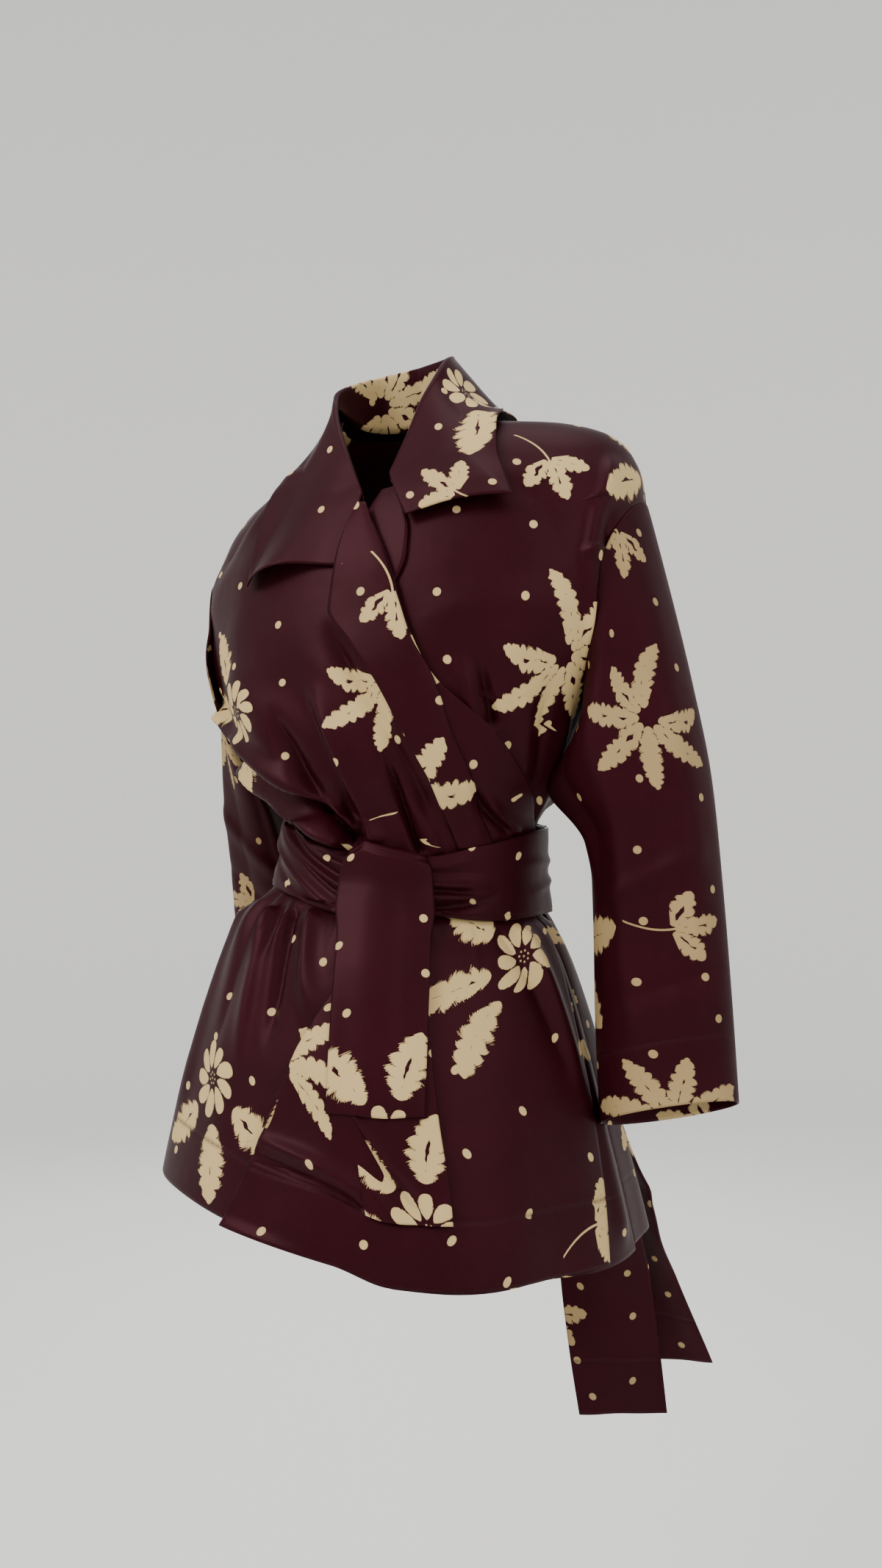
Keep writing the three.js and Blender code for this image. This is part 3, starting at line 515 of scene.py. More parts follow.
def panel(name, grid, edges, heights, grain, list_of_folds, seed, out=0, pleat=False, ditch=0, under=0):
    """A body panel: rows follow the height from its top to its bottom, and columns share the turn between its
    two edges. To the body's reach are added out, slow waves, listed folds, the pleat and the gathers. A ditch
    is how far its side edges sink into the seams, and under is how far it sinks where the right front covers
    it."""
    columns, rows = grid
    z = np.linspace(*heights, rows)[:, None]
    start, end = (edge(z) for edge in edges)
    turn = start + (end - start) * np.linspace(0, 1, columns)[None, :]
    level = np.broadcast_to(z, turn.shape)
    placed, extra = turn, ripple(turn * ROUND, level, 0.16, 120, seed)
    if pleat:
        placed, high = pleated(turn, level)
        extra = extra + high
    extra = extra + folds(turn * ROUND, level, list_of_folds, ROUND) * FOLD_DEPTH
    extra = bound_by_sash(turn, level, extra, seed)
    girth = np.linalg.norm(body(turn, level)[..., :2], axis=-1)
    seam = np.radians(np.minimum(turn - start, end - turn)) * girth
    covered = smooth(3, 15, read(RIGHT_EDGE, "z", "turn", level) - turn)
    extra = extra - ditch * bell(seam, SEAM_HALF) - under * covered
    points = stand(moved(placed, level, extra + (out(turn) if out else 0)))
    return cloth_mesh(name, points, panel_run(points, turn, z, grain))


def armhole(z):
    """Half the armhole's width at a height, as a turn from the side: an oval."""
    t = (z - ARMHOLE["middle"]) / ARMHOLE["tall"]
    return ARMHOLE["wide"] * np.sqrt(np.maximum(0, 1 - t * t))


def side_seam(side, towards):
    """The edge of a panel at a side seam: half a gap away from it, and round the armhole above."""
    return lambda z: side + towards * (armhole(z) + SEAM_TURN)


def free_edge(rows_of):
    """The free edge of a front, from its table."""
    return lambda z: read(rows_of, "z", "turn", z)


def right_out(turn):
    """The right front leaves the side seam on the body and comes to lie a layer outside it."""
    return LAYER * smooth(-72, -50, turn)


def make_panels():
    back_edges = side_seam(90, 1), side_seam(270, -1)
    right_edges = side_seam(-90, 1), free_edge(RIGHT_EDGE)
    left_edges = free_edge(LEFT_EDGE), side_seam(90, -1)
    return {
        "back": panel(
            "back_cloth", (150, 230), back_edges, (23, HEM), 180, BACK_FOLDS, 11, ditch=SEAM_DITCH,
        ),
        "front_right": panel(
            "front_right_cloth", (176, 236), right_edges, (22, HEM), -15, FRONT_RIGHT_FOLDS, 21,
            out=right_out, pleat=True,
        ),
        "front_left": panel(
            "front_left_cloth", (120, 230), left_edges, (22, UNDER_HEM), 45, FRONT_LEFT_FOLDS, 31,
            under=UNDER_DEEP,
        ),
    }


def revers(name, rows_of, start, end, seed):
    """A revers: between its roll line and its loose edge, which curls a little off the front. The right
    one follows the folds of the front that it lies on."""
    z = np.linspace(rows_of["z"][0], rows_of["z"][-1], 110)[:, None]
    share = np.linspace(0, 1, 18)[None, :]
    a, b = read(rows_of, "z", start, z), read(rows_of, "z", end, z)
    turn = a + (b - a) * share
    z = np.broadcast_to(z, turn.shape)
    right = start == "edge"
    loose = 1 - share if right else share
    under = folds(turn * ROUND, z, FRONT_RIGHT_FOLDS if right else [], ROUND) * 0.75
    curl = 0.9 * loose**3 * (1 + 0.6 * np.sin(z / 17.0)) - 1.6 * (1 - loose) ** 6
    out = read(rows_of, "z", "out", z) + np.minimum(under, 6) + curl + ripple(turn * 2, z, 0.2, 90, seed)
    return cloth_mesh(name, stand(moved(turn, z, out)), (turn * ROUND, z))


def clear_of_body(points, out):
    """Points kept at least so far outside the body surface, below the neck."""
    kept = points.copy()
    for _ in range(3):
        turn = np.degrees(np.arctan2(kept[..., 0], -kept[..., 1]))
        skin = body(turn, kept[..., 2])
        normal = moved(turn, kept[..., 2], np.ones(turn.shape)) - skin
        short = out - np.sum((kept - skin) * normal, -1)
        push = np.where((short > 0) & (kept[..., 2] < NECK_Z), short, 0)
        kept = kept + normal * push[..., None]
    return kept


def laid_flat(points, fold):
    """The run of a strip whose rows are nearly straight, laid flat row by row: the line at column fold
    is walked along, and its heading changes by the difference of the angles that two neighbouring
    rows make with it. Each row then keeps its own length from that line."""
    line, rim = points[:, fold], points[:, -1]
    step, row = np.diff(line, axis=0), rim - line
    angle = lambda one, two: np.arccos(np.clip(np.sum(unit(one) * unit(two), -1), -1, 1))
    before, after = angle(row[:-1], step), angle(row[1:], step)
    heading = np.concatenate([[0], np.cumsum(after[:-1] - before[1:])])
    length = np.linalg.norm(step, axis=-1)
    walked = np.stack([np.cos(heading), np.sin(heading)], -1) * length[:, None]
    place = np.concatenate([[[0, 0]], np.cumsum(walked, 0)])
    aim = np.concatenate([heading + before, [heading[-1] + after[-1]]])
    middle = len(line) // 2
    turn = -math.pi / 2 - aim[middle]
    aim = (aim + turn)[:, None]
    x, y = (place - place[middle]).T
    across = arc(points, 1)
    across = across - across[:, fold, None]
    return (
        (x * math.cos(turn) - y * math.sin(turn))[:, None] + across * np.cos(aim),
        (x * math.sin(turn) + y * math.cos(turn))[:, None] + across * np.sin(aim),
    )


def collar():
    """The collar, from the right front end round the back to the left one: a stand that rises from the
    neck seam, half a circle as the fold, and a leaf that falls on a curve of three points (fold, middle,
    loose edge). Waves grow towards the edge, and it lifts at the two points of the leaf."""
    place = np.linspace(-1, 1, 231)[:, None]
    ends = np.abs(place)

    def value(key):
        return np.where(place < 0, read(COLLAR_RIGHT, "at", key, ends), read(COLLAR_LEFT, "at", key, ends))

    fold = np.stack([value("x"), value("y"), value("z")], -1)
    away = unit(np.stack([value("x"), value("y") + 40, 0 * ends], -1))
    full = fold[..., 2] - STAND_SEAM_Z
    tall = full + (STAND_FRONT - full) * smooth(0.2, 0.7, ends)
    flare = STAND_FLARE * smooth(0, 0.5, 0.5 - ends)
    down = np.linspace(1, 0, 8)[None, :-1]
    bow = 1.2 * np.sin(math.pi * down)
    stand_part = fold + away * (flare * down - COLLAR_FOLD / 2 + bow)[..., None]
    stand_part[..., 2] -= tall * down
    angle = np.linspace(0, math.pi, 9)[None, :]
    round_part = fold - away * (np.cos(angle) * COLLAR_FOLD / 2 * np.ones_like(ends))[..., None]
    round_part[..., 2] += np.sin(angle) * COLLAR_FOLD / 2

    fall = np.linspace(0, 1, 34)[None, 1:]
    fold_turn = np.degrees(np.arctan2(fold[..., 0], -fold[..., 1]))
    turn = fold_turn + turn_between(fold_turn, value("turn")) * 0.4
    begin = fold + away * COLLAR_FOLD / 2
    rest = moved(turn, np.minimum(8, (fold[..., 2] + value("edge")) / 2), COLLAR_OUT * np.ones(turn.shape))
    edge = moved(value("turn"), value("edge"), COLLAR_OUT * np.ones(turn.shape))
    share = fall[..., None]
    first = begin + (rest - begin) * share
    leaf = clear_of_body(first + (rest + (edge - rest) * share - first) * share, COLLAR_OUT)
    outward = unit(leaf * np.array([1, 1, 0]) + np.array([0, 30, 25]))
    wave = fall**2 * (1.6 * np.sin(place * 17 + 0.6) + 1.1 * np.sin(place * 31 + 2))
    wave = wave + 1.2 * np.sin(math.pi * fall) * np.sin(place * 9)
    lift = 1.2 + 17 * bell(place + 0.87, 0.06) + 6 * bell(place - 0.87, 0.08)
    leaf = leaf + outward * (wave + lift * fall**3)[..., None]
    points = stand(np.concatenate([stand_part, round_part, leaf], 1))
    return cloth_mesh("collar_cloth", points, laid_flat(points, stand_part.shape[1] + 4))


# Creases of the sleeves, by turn round the sleeve (0 outer line, 90 front, 180 inner line) and height.
SLEEVE_LEFT_FOLDS = [
    ([(148, -190), (156, -230), (160, -280), (160, -335)], 22, 24, 10.5, 0.22, 0.4),
    ([(40, -70), (44, -190), (50, -330), (56, -480)], 15, 12, 4.2, 0.3, 0.3),
    ([(72, -150), (76, -250), (80, -370), (78, -540)], 12, 14, -3.6, 0.3, 0.2),
    ([(100, -190), (108, -290), (112, -390), (108, -520)], 10, 9, 3.6, 0.25, 0.3),
    ([(128, -215), (138, -268), (142, -320), (140, -400)], 8, 7, -4.4, 0.25, 0.35),
    ([(150, -228), (158, -276), (162, -322), (160, -370)], 7, 7, 4.6, 0.25, 0.35),
    ([(20, -330), (60, -352), (110, -372), (160, -392)], 9, 7, 2.2, 0.4, 0.3),
    ([(10, -430), (48, -440), (96, -452), (140, -470)], 8, 8, -1.9, 0.4, 0.4),
    ([(-30, -90), (-38, -210), (-44, -350), (-48, -520)], 14, 12, 4.0, 0.3, 0.2),
    ([(-84, -170), (-92, -280), (-96, -400), (-92, -540)], 11, 12, -3.8, 0.3, 0.2),
    ([(-130, -215), (-140, -280), (-146, -360), (-142, -470)], 9, 8, 4.2, 0.3, 0.3),
]
SLEEVE_RIGHT_FOLDS = [
    ([(78, -150), (92, -200), (104, -262), (108, -340)], 24, 24, 11, 0.35, 0.4),
    ([(36, -90), (40, -200), (46, -340), (50, -480)], 14, 12, 4.0, 0.3, 0.3),
    ([(66, -180), (74, -270), (82, -380), (80, -530)], 11, 12, -3.4, 0.3, 0.2),
    ([(20, -300), (60, -332), (110, -360), (156, -386)], 9, 7, 3.2, 0.35, 0.3),
    ([(26, -360), (70, -384), (114, -404), (150, -424)], 7, 7, -2.6, 0.35, 0.3),
    ([(120, -230), (134, -280), (142, -340), (142, -420)], 8, 8, 4.0, 0.3, 0.3),
    ([(-34, -110), (-40, -220), (-46, -360), (-50, -510)], 13, 12, 4.0, 0.3, 0.2),
    ([(-86, -190), (-94, -290), (-98, -400), (-94, -530)], 11, 11, -3.6, 0.3, 0.2),
    ([(-128, -230), (-138, -290), (-144, -360), (-142, -460)], 9, 8, 3.8, 0.3, 0.3),
]


SLEEVE_ROUND = 0.8  # mm across for each degree round the sleeve, on the flat map of its folds
SLEEVE_LONG = 520


def sleeve(name, side, rows_of, list_of_folds, seed):
    """A sleeve: its top is the armhole's oval on the body, and its tube of slanted ovals follows the arm,
    each between an outer and an inner place. Its folds add to the reach from the tube's middle line, and
    it dips into the armhole's seam."""
    at = np.linspace(0, 1, 176)[:, None]
    angle = np.linspace(-math.pi, math.pi, 121)[None, :]
    z = ARMHOLE["middle"] + (ARMHOLE["tall"] - 0.6) * np.cos(angle)
    swing = (ARMHOLE["wide"] - 0.1) * np.sin(angle)
    top = stand(moved(side * (ARMHOLE["side"] - swing), z, np.zeros(angle.shape)))
    inx, outx, inz, outz, y, deep, rise = (
        read(rows_of, "at", key, at) for key in ("inx", "outx", "inz", "outz", "y", "deep", "rise")
    )
    outer = 0.5 + np.cos(angle) / 2
    tube = np.stack([
        inx + (outx - inx) * outer,
        y - deep * np.sin(angle),
        inz + (outz - inz) * outer + rise * np.sin(angle),
    ], -1)
    points = top + (tube - top) * smooth(0, 0.3, at)[..., None]
    reach = unit(points - points[:, :-1].mean(1, keepdims=True))
    turns = np.degrees(angle) * np.ones_like(at)
    high = folds(turns * SLEEVE_ROUND, points[..., 2], list_of_folds, SLEEVE_ROUND)
    high = high + ripple(70 * np.sin(angle) + 31, points[..., 2], 0.3, 140, seed)
    high = high * smooth(0, 0.12, at) - 1.2 * bell(at * SLEEVE_LONG, 4)
    points = points + reach * high[..., None]
    if side < 0:
        points, angle = points[:, ::-1], -angle
    girth = arc(points, 1)[:, -1:]
    return cloth_mesh(name, points, (angle / (2 * math.pi) * girth, points[..., 2] * 1.02), closed=True)


# Gather folds of the sash: way as (turn, share down), half-widths and height as for the body's folds.
SASH_FOLDS = [
    ([(60, 0.50), (46, 0.49), (34, 0.44), (22, 0.40)], 2.6, 3.0, 3.4, 0.5, 0.03),
    ([(56, 0.62), (44, 0.58), (33, 0.53), (22, 0.50)], 2.2, 2.2, -3.4, 0.4, 0.03),
    ([(60, 0.62), (46, 0.66), (34, 0.64), (22, 0.60)], 3.0, 2.6, 3.6, 0.45, 0.03),
    ([(64, 0.58), (48, 0.72), (34, 0.80), (22, 0.76)], 2.4, 3.4, -5.0, 0.45, 0.03),
    ([(52, 0.86), (42, 0.90), (32, 0.92), (22, 0.90)], 3.0, 3.0, 2.0, 0.5, 0.05),
    ([(58, 0.34), (46, 0.30), (34, 0.28), (22, 0.24)], 3.0, 3.6, -2.4, 0.5, 0.03),
    ([(50, 0.16), (42, 0.15), (32, 0.14), (22, 0.12)], 3.0, 3.0, 1.6, 0.5, 0.05),
    ([(-56, -0.02), (-40, 0.22), (-20, 0.48), (0, 0.72)], 2.0, 2.2, -3.6, 0.15, 0.05),
    ([(-52, -0.10), (-36, 0.12), (-18, 0.38), (0, 0.60)], 3.2, 2.6, 3.0, 0.2, 0.05),
    ([(-44, -0.06), (-30, 0.10), (-14, 0.30), (0, 0.46)], 2.0, 2.2, -2.6, 0.2, 0.05),
    ([(-64, 0.22), (-46, 0.46), (-26, 0.72), (-6, 0.94)], 4.2, 3.4, 2.6, 0.25, 0.1),
    ([(-66, 0.44), (-50, 0.66), (-34, 0.84), (-18, 0.98)], 3.0, 3.0, -1.8, 0.25, 0.2),
    ([(-30, -0.04), (-18, 0.08), (-8, 0.20), (2, 0.30)], 3.4, 2.6, 2.6, 0.2, 0.05),
    ([(70, 0.3), (90, 0.34), (108, 0.4), (122, 0.44)], 4, 4, 1.8, 0.3, 0.1),
    ([(76, 0.66), (92, 0.64), (108, 0.58), (122, 0.52)], 3.4, 3.6, 2.0, 0.3, 0.1),
    ([(180, 0.3), (165, 0.34), (150, 0.42), (136, 0.46)], 4, 3.6, 2.0, 0.35, 0.05),
    ([(178, 0.7), (164, 0.66), (150, 0.58), (136, 0.54)], 3.6, 3.6, 1.9, 0.35, 0.05),
    ([(-178, 0.45), (-150, 0.5), (-120, 0.42), (-90, 0.4)], 5, 5, 1.5, 0.3, 0.3),
    ([(-170, 0.75), (-140, 0.78), (-110, 0.72), (-80, 0.74)], 4, 5, -1.3, 0.3, 0.3),
]


def sash():
    """The waist band: a ring between its two edges, with a soft crown, gathers that run to the tie and
    edges that hug the waist, less so on the plain stretch on the wearer's left."""
    turn = np.linspace(-180, 180, 361)[None, :]
    share = np.linspace(0, 1, 30)[:, None]
    top, low = read(SASH, "turn", "top", turn), read(SASH, "turn", "bottom", turn)
    z = top + (low - top) * share
    turn = np.broadcast_to(turn, z.shape)
    gathered = [([(x, -down * SASH_WIDE) for x, down in points], *rest) for points, *rest in SASH_FOLDS]
    high = folds(turn * ROUND, -share * SASH_WIDE + 0 * turn, gathered, ROUND) * 1.25
    high = high + 1.1 * np.sin(math.pi * share) - 0.5 + 0.5 * np.sin(np.radians(turn) * 9 + 1)
    hug = 3.0 - 1.8 * smooth(28, 48, turn) * smooth(118, 98, turn)
    high = high - hug * (bell(share, 0.1) + bell(1 - share, 0.1))
    high = high * (1 - 0.2 * bell(turn_between(14, turn), 22))
    return cloth_mesh("sash_cloth", stand(moved(turn, z, SASH_OUT + high)), closed=True, thick=SASH_CLOTH)


# The upper edge of the sash end where it rolls over: how far it rises, by the share across it.
ROLL_LINE = table("share up", (0, -9), (0.12, -4), (0.28, 1), (0.5, -2), (0.75, -5), (0.93, -7), (1, -9))


ROLL = 4.2  # half the thickness of that roll


def strip(rows_of, rows, columns):
    """A hanging strip's grid from its table: its turns and heights, and the share and mm across it."""
    z = np.linspace(rows_of["z"][0], rows_of["z"][-1], rows)[:, None]
    share = np.linspace(0, 1, columns)[None, :]
    turn, wide = read(rows_of, "z", "turn", z), read(rows_of, "z", "wide", z)
    girth = np.linalg.norm(moved(turn, z, 0 * turn)[..., :2], axis=-1)
    across = (share - 0.5) * wide
    turns = turn + np.degrees(across / girth)
    return turns, np.broadcast_to(z, turns.shape), share, across


def hung(turns, z, out):
    """Cloth that bridges the hollows of what it hangs over: the mean of its places over 60 mm of height."""
    return np.mean([moved(turns, z + step, out) for step in range(-30, 31, 10)], 0)


def sash_end_upper():
    """The end that comes up behind the sash, rolls over its top edge on an arc and hangs flat over the
    front. Soft ridges run down it, its left edge stands off below, and its foot is cut a little slant."""
    turns, z, share, _ = strip(TAIL_UPPER, 120, 40)
    fallen = z[0, 0] - z
    crown = np.sin(math.pi * share)
    soft = 0.9 * bell(share - 0.30, 0.16) - 0.8 * bell(share - 0.62, 0.12)
    out = read(TAIL_UPPER, "z", "out", z) + soft * smooth(0, 60, fallen) + ripple(share * 70, z, 0.35, 150, 61)
    out = out + 1.2 * crown - 0.8 + 1.6 * bell(fallen, 16) * crown
    out = out - 2.4 * bell(1 - share, 0.06) * bell(fallen, 30)
    out = out + 3.0 * bell(share, 0.16) * smooth(80, 160, fallen)
    lift = read(ROLL_LINE, "share", "up", share)
    foot = (3 - 14 * (1 - share) ** 1.3) * smooth(20, 205, fallen)
    front = hung(turns, z + lift * np.exp(-fallen / 26) + foot, out)
    angle = math.pi * (0.18 + 0.82 * np.linspace(0, 1, 13)[:-1, None])
    over_z = z[:1] + lift + ROLL * np.sin(angle)
    over = hung(turns[:1] + 0 * angle, over_z, out[:1] - ROLL * (1 + np.cos(angle)))
    return cloth_mesh("sash_end_upper_cloth", stand(np.concatenate([over, front], 0)), thick=SASH_CLOTH)


def sash_end_lower():
    """The end below it: its lower corner on the wearer's right is turned back in one long slanted crease,
    a ridge with a hollow behind it."""
    turns, z, share, across = strip(TAIL_LOWER, 140, 50)
    crease = (across + 30) * 0.78 + (z + 551) * 0.62
    turned = 2.6 * bell(crease, 4.0) - 4.2 * smooth(0, -8, crease) + 3.4 * smooth(-12, -26, crease)
    out = read(TAIL_LOWER, "z", "out", z) + ripple(across, z, 0.3, 120, 62)
    out = out + turned * (1 - smooth(2, 20, across)) - bell(share - 0.72, 0.1) * smooth(-480, -560, z)
    return cloth_mesh("sash_end_lower_cloth", stand(moved(turns, z, out)), thick=SASH_CLOTH)


def tie_end(name, rows_of, seed):
    """An end of the rear tie: a flat ribbon down its table's middle line, turned to face as it falls. Its
    gathers die away below the wrap, and its bend grows there."""
    z = np.linspace(rows_of["z"][0], rows_of["z"][-1], 150)[:, None]
    share = np.linspace(0, 1, 26)[None, :]
    turn, out, wide, face = (read(rows_of, "z", key, z) for key in ("turn", "out", "wide", "face"))
    face = np.radians(face)
    along = np.stack([np.cos(face), np.sin(face), 0 * face], -1)
    points = moved(turn, z, out) + along * ((share - 0.5) * wide)[..., None]
    normal = np.stack([np.sin(face), -np.cos(face), 0 * face], -1)
    a, b = np.random.default_rng(seed).uniform(0, 6, 2)
    bend = 2.2 * np.sin(share * 5.2 + a + z / 120) + 1.3 * np.sin(share * 9.0 + b - z / 75)
    gather = 3.2 * np.sin(share * 12 + a) * smooth(-520, -400, z)
    points = points + normal * (bend * smooth(-400, -470, z) + gather)[..., None]
    return cloth_mesh(name, stand(points), thick=SASH_CLOTH)


def tie_wrap():
    """The rear tie's one turn over the sash: a short band that bulges and is pinched into small gathers."""
    across = np.linspace(-1, 1, 40)[None, :]
    share = np.linspace(0, 1, 44)[:, None]
    turn = across * TIE_WRAP["half"] + TIE_WRAP["turn"]
    z = TIE_WRAP["top"] + (TIE_WRAP["bottom"] - TIE_WRAP["top"]) * share
    u = (across + 1) / 2
    middle = np.sin(math.pi * share)
    bulge = 2.5 * middle * np.sin(math.pi * u)
    pinch = 1.6 * np.sin(u * 17 + 1.1 * np.sin(share * 4)) * np.maximum(middle, 0) ** 0.6
    z, turn = np.broadcast_arrays(z, turn)
    points = stand(moved(turn, z, TIE_WRAP["out"] + bulge + pinch))
    return cloth_mesh("tie_wrap_cloth", points, thick=SASH_CLOTH)


def make_pieces():
    """Every cut piece, by the name of the solid that it dresses."""
    return {
        **make_panels(),
        "sleeve_right": sleeve("sleeve_right_cloth", -1, SLEEVE_RIGHT, SLEEVE_RIGHT_FOLDS, 41),
        "sleeve_left": sleeve("sleeve_left_cloth", 1, SLEEVE_LEFT, SLEEVE_LEFT_FOLDS, 42),
        "collar": collar(),
        "revers_right": revers("revers_right_cloth", REVERS_RIGHT, "edge", "roll", 51),
        "revers_left": revers("revers_left_cloth", REVERS_LEFT, "roll", "edge", 52),
        "sash": sash(),
        "sash_tail_upper": sash_end_upper(),
        "sash_tail_lower": sash_end_lower(),
        "tie_wrap": tie_wrap(),
        "tie_tail_long": tie_end("tie_end_long_cloth", TIE_LONG, 71),
        "tie_tail_short": tie_end("tie_end_short_cloth", TIE_SHORT, 72),
    }


class Wire:
    """An output socket. Arithmetic with other wires and numbers adds Math nodes to its tree."""

    def __init__(self, tree, socket):
        self.tree, self.socket = tree, socket

    def add(self, kind, inputs, out=0, **settings):
        """Any other node: its type, its settings, which are set first, and its sockets' values or wires."""
        node = self.tree.nodes.new("ShaderNode" + kind)
        for name, value in settings.items():
            setattr(node, name, value)
        for name, value in inputs.items():
            if isinstance(value, Wire):
                self.tree.links.new(value.socket, node.inputs[name])
            else:
                node.inputs[name].default_value = value
        return Wire(self.tree, node.outputs[out])

    def math(self, operation, *values):
        return self.add("Math", dict(enumerate((self, *values))), operation=operation)

    def __add__(self, other):
        return self.math("ADD", other)

    def __sub__(self, other):
        return self.math("SUBTRACT", other)

    def __mul__(self, other):
        return self.math("MULTIPLY", other)

    def __truediv__(self, other):
        return self.math("DIVIDE", other)

    def __rsub__(self, other):
        return self.add("Math", {0: other, 1: self}, operation="SUBTRACT")

    __radd__ = __add__
    __rmul__ = __mul__

    def part(self, letter):
        """One of a vector's three numbers."""
        return self.add("SeparateXYZ", {0: self}, out="XYZ".index(letter))

    def noise(self, place, scale, detail, flat=True):
        """Noise over a flat place, or over a place in space."""
        kind = "2D" if flat else "3D"
        return self.add("TexNoise", {"Vector": place, "Scale": scale, "Detail": detail}, noise_dimensions=kind)

    def between(self, low, high):
        """0 at low and below, 1 at high and above."""
        return self.add("MapRange", {"Value": self, "From Min": low, "From Max": high})

    def fract(self):
        return self.math("FRACT")

    def floor(self):
        return self.math("FLOOR")

    def size(self):
        return self.math("ABSOLUTE")

    def largest(self, other):
        return self.math("MAXIMUM", other)

    def least(self, other):
        return self.math("MINIMUM", other)

    def mixed(self, below, above):
        """A colour between two, by this wire as the factor."""
        return self.add("Mix", {0: self, 6: below, 7: above}, out=2, data_type="RGBA")

    def faded(self, towards, share):
        """This colour with a fixed share of another."""
        return self.add("Mix", {0: share, 6: self, 7: towards}, out=2, data_type="RGBA")


def vector(x, y, z=0.0):
    """A vector of three wires or numbers."""
    wire = x if isinstance(x, Wire) else y
    return wire.add("CombineXYZ", {0: x, 1: y, 2: z})


# The print is made up for this part: sprays of lobed leaves, posies, sprigs and dots, each drawn by a
# formula, on a repeat of these sizes (metres) whose odd columns drop by half. The motifs' own sizes are in
# metres and their turns in radians.
REPEAT_WIDE = 0.272
REPEAT_LONG = 0.322
SOFT_EDGE = 0.0005  # width over which a motif's edge fades
SPRAY = {
    "at": (0.066, 0.080), "gap": 0.66, "leaves": 3, "start": 0.0075,
    "long": 0.043, "wide": 0.0122, "teeth": 6.8,
}
POSY = {"at": (0.186, 0.216), "gap": 0.698, "start": 0.0078, "long": 0.0185, "wide": 0.0105}
EYE = {"gap": 0.8976, "ring": 0.0042, "seed": 0.0010}
FAN = {"gap": 0.88, "leaves": 1, "start": 0.034, "long": 0.060, "wide": 0.0190, "teeth": 5.6}
SPRIG = {
    "at": (0.060, 0.232), "gap": 0.95, "leaves": 1, "start": 0.003,
    "long": 0.038, "wide": 0.0108, "teeth": 4.5,
}
STEM = {"half": 0.0010, "bend": 11.0, "middle": -0.013, "reach": 0.020}
DOT_GAP = 0.058
DOT_SIZE = 0.0033


def far(x, y):
    """Distance from a motif's middle."""
    return (x * x + y * y).math("SQRT")


def by_chance(one, two):
    """A value from 0 to 1 without order, from two wires."""
    return ((one + two).math("SINE") * 437.5).fract()


def ray(around, gap):
    """A turn about a motif's middle, as the number of its nearest ray and the turn off that ray."""
    number = (around / gap).math("ROUND")
    return number, around - number * gap


def rays_kept(number, most):
    """1 on the rays up to this number on either side of the middle one."""
    return (number.size() - (most + 0.4)).between(0.2, -0.2)


def motif_place(u, v, at, seed):
    """The place of a motif in the repeat, seen from its own middle: coordinates across and along it,
    turned by a chance angle that differs from one repeat to the next, and that repeat's chance value."""
    across = (u - at[0]) / REPEAT_WIDE + 0.5
    column = across.floor()
    along = (v - at[1]) / REPEAT_LONG + column * 0.5 + 0.5
    cell = vector(column, along.floor(), seed)
    chance = u.add("TexWhiteNoise", {"Vector": cell}, noise_dimensions="3D")
    angle = chance * 6.28
    left, up = (across.fract() - 0.5) * REPEAT_WIDE, (along.fract() - 0.5) * REPEAT_LONG
    c, s = angle.math("COSINE"), angle.math("SINE")
    return left * c + up * s, up * c - left * s, chance


def leaf(x, y, long, wide, teeth, brush, seed):
    """A solid leaf along x from 0 to long, of half-width wide: a skewed arch cut into rounded lobes that
    lean to the tip and differ in depth, with a brushed edge and a short dark stroke along its rib."""
    t = (x / long).between(0.0, 1.0)
    side = y.size()
    arch = t.math("POWER", 0.55) * (1 - t).math("POWER", 0.6) * (wide * 1.78)
    uneven = x.noise(vector(x * 90, y.math("SIGN") * 3 + seed), 1.0, 1.0)
    lobe = ((t * teeth + uneven * 1.1 - side / wide * 0.62) * math.pi).math("SINE").size().math("POWER", 0.6)
    strokes = x.noise(vector(x * 1500 + side * 900, side * 90), 1.0, 1.0)
    edge = arch * (0.62 + lobe * (0.18 + uneven * 0.42)) + (strokes - 0.5) * brush * (arch / wide)
    rib = (side - (uneven - 0.54) * 0.010).between(0.0, 0.0004).largest((t - 0.40).size().between(0.20, 0.24))
    return (edge - side).between(0.0, SOFT_EDGE) * rib


def spray(u, v):
    """Seven drooping leaves of different lengths round one point, open below."""
    x, y, chance = motif_place(u, v, SPRAY["at"], 3.0)
    radius = far(x, y)
    droop = 1 + radius * 5.0
    number, off = ray(y.math("ARCTAN2", x) / droop, SPRAY["gap"])
    own = by_chance(number * 12.9898, chance * 78.2)
    along, aside = radius * off.math("COSINE") - SPRAY["start"], radius * off.math("SINE") * droop
    long = own * 0.017 + SPRAY["long"]
    leaves = leaf(along, aside, long, SPRAY["wide"], SPRAY["teeth"], 0.006, own * 9 + chance * 50)
    return leaves * rays_kept(number, SPRAY["leaves"])


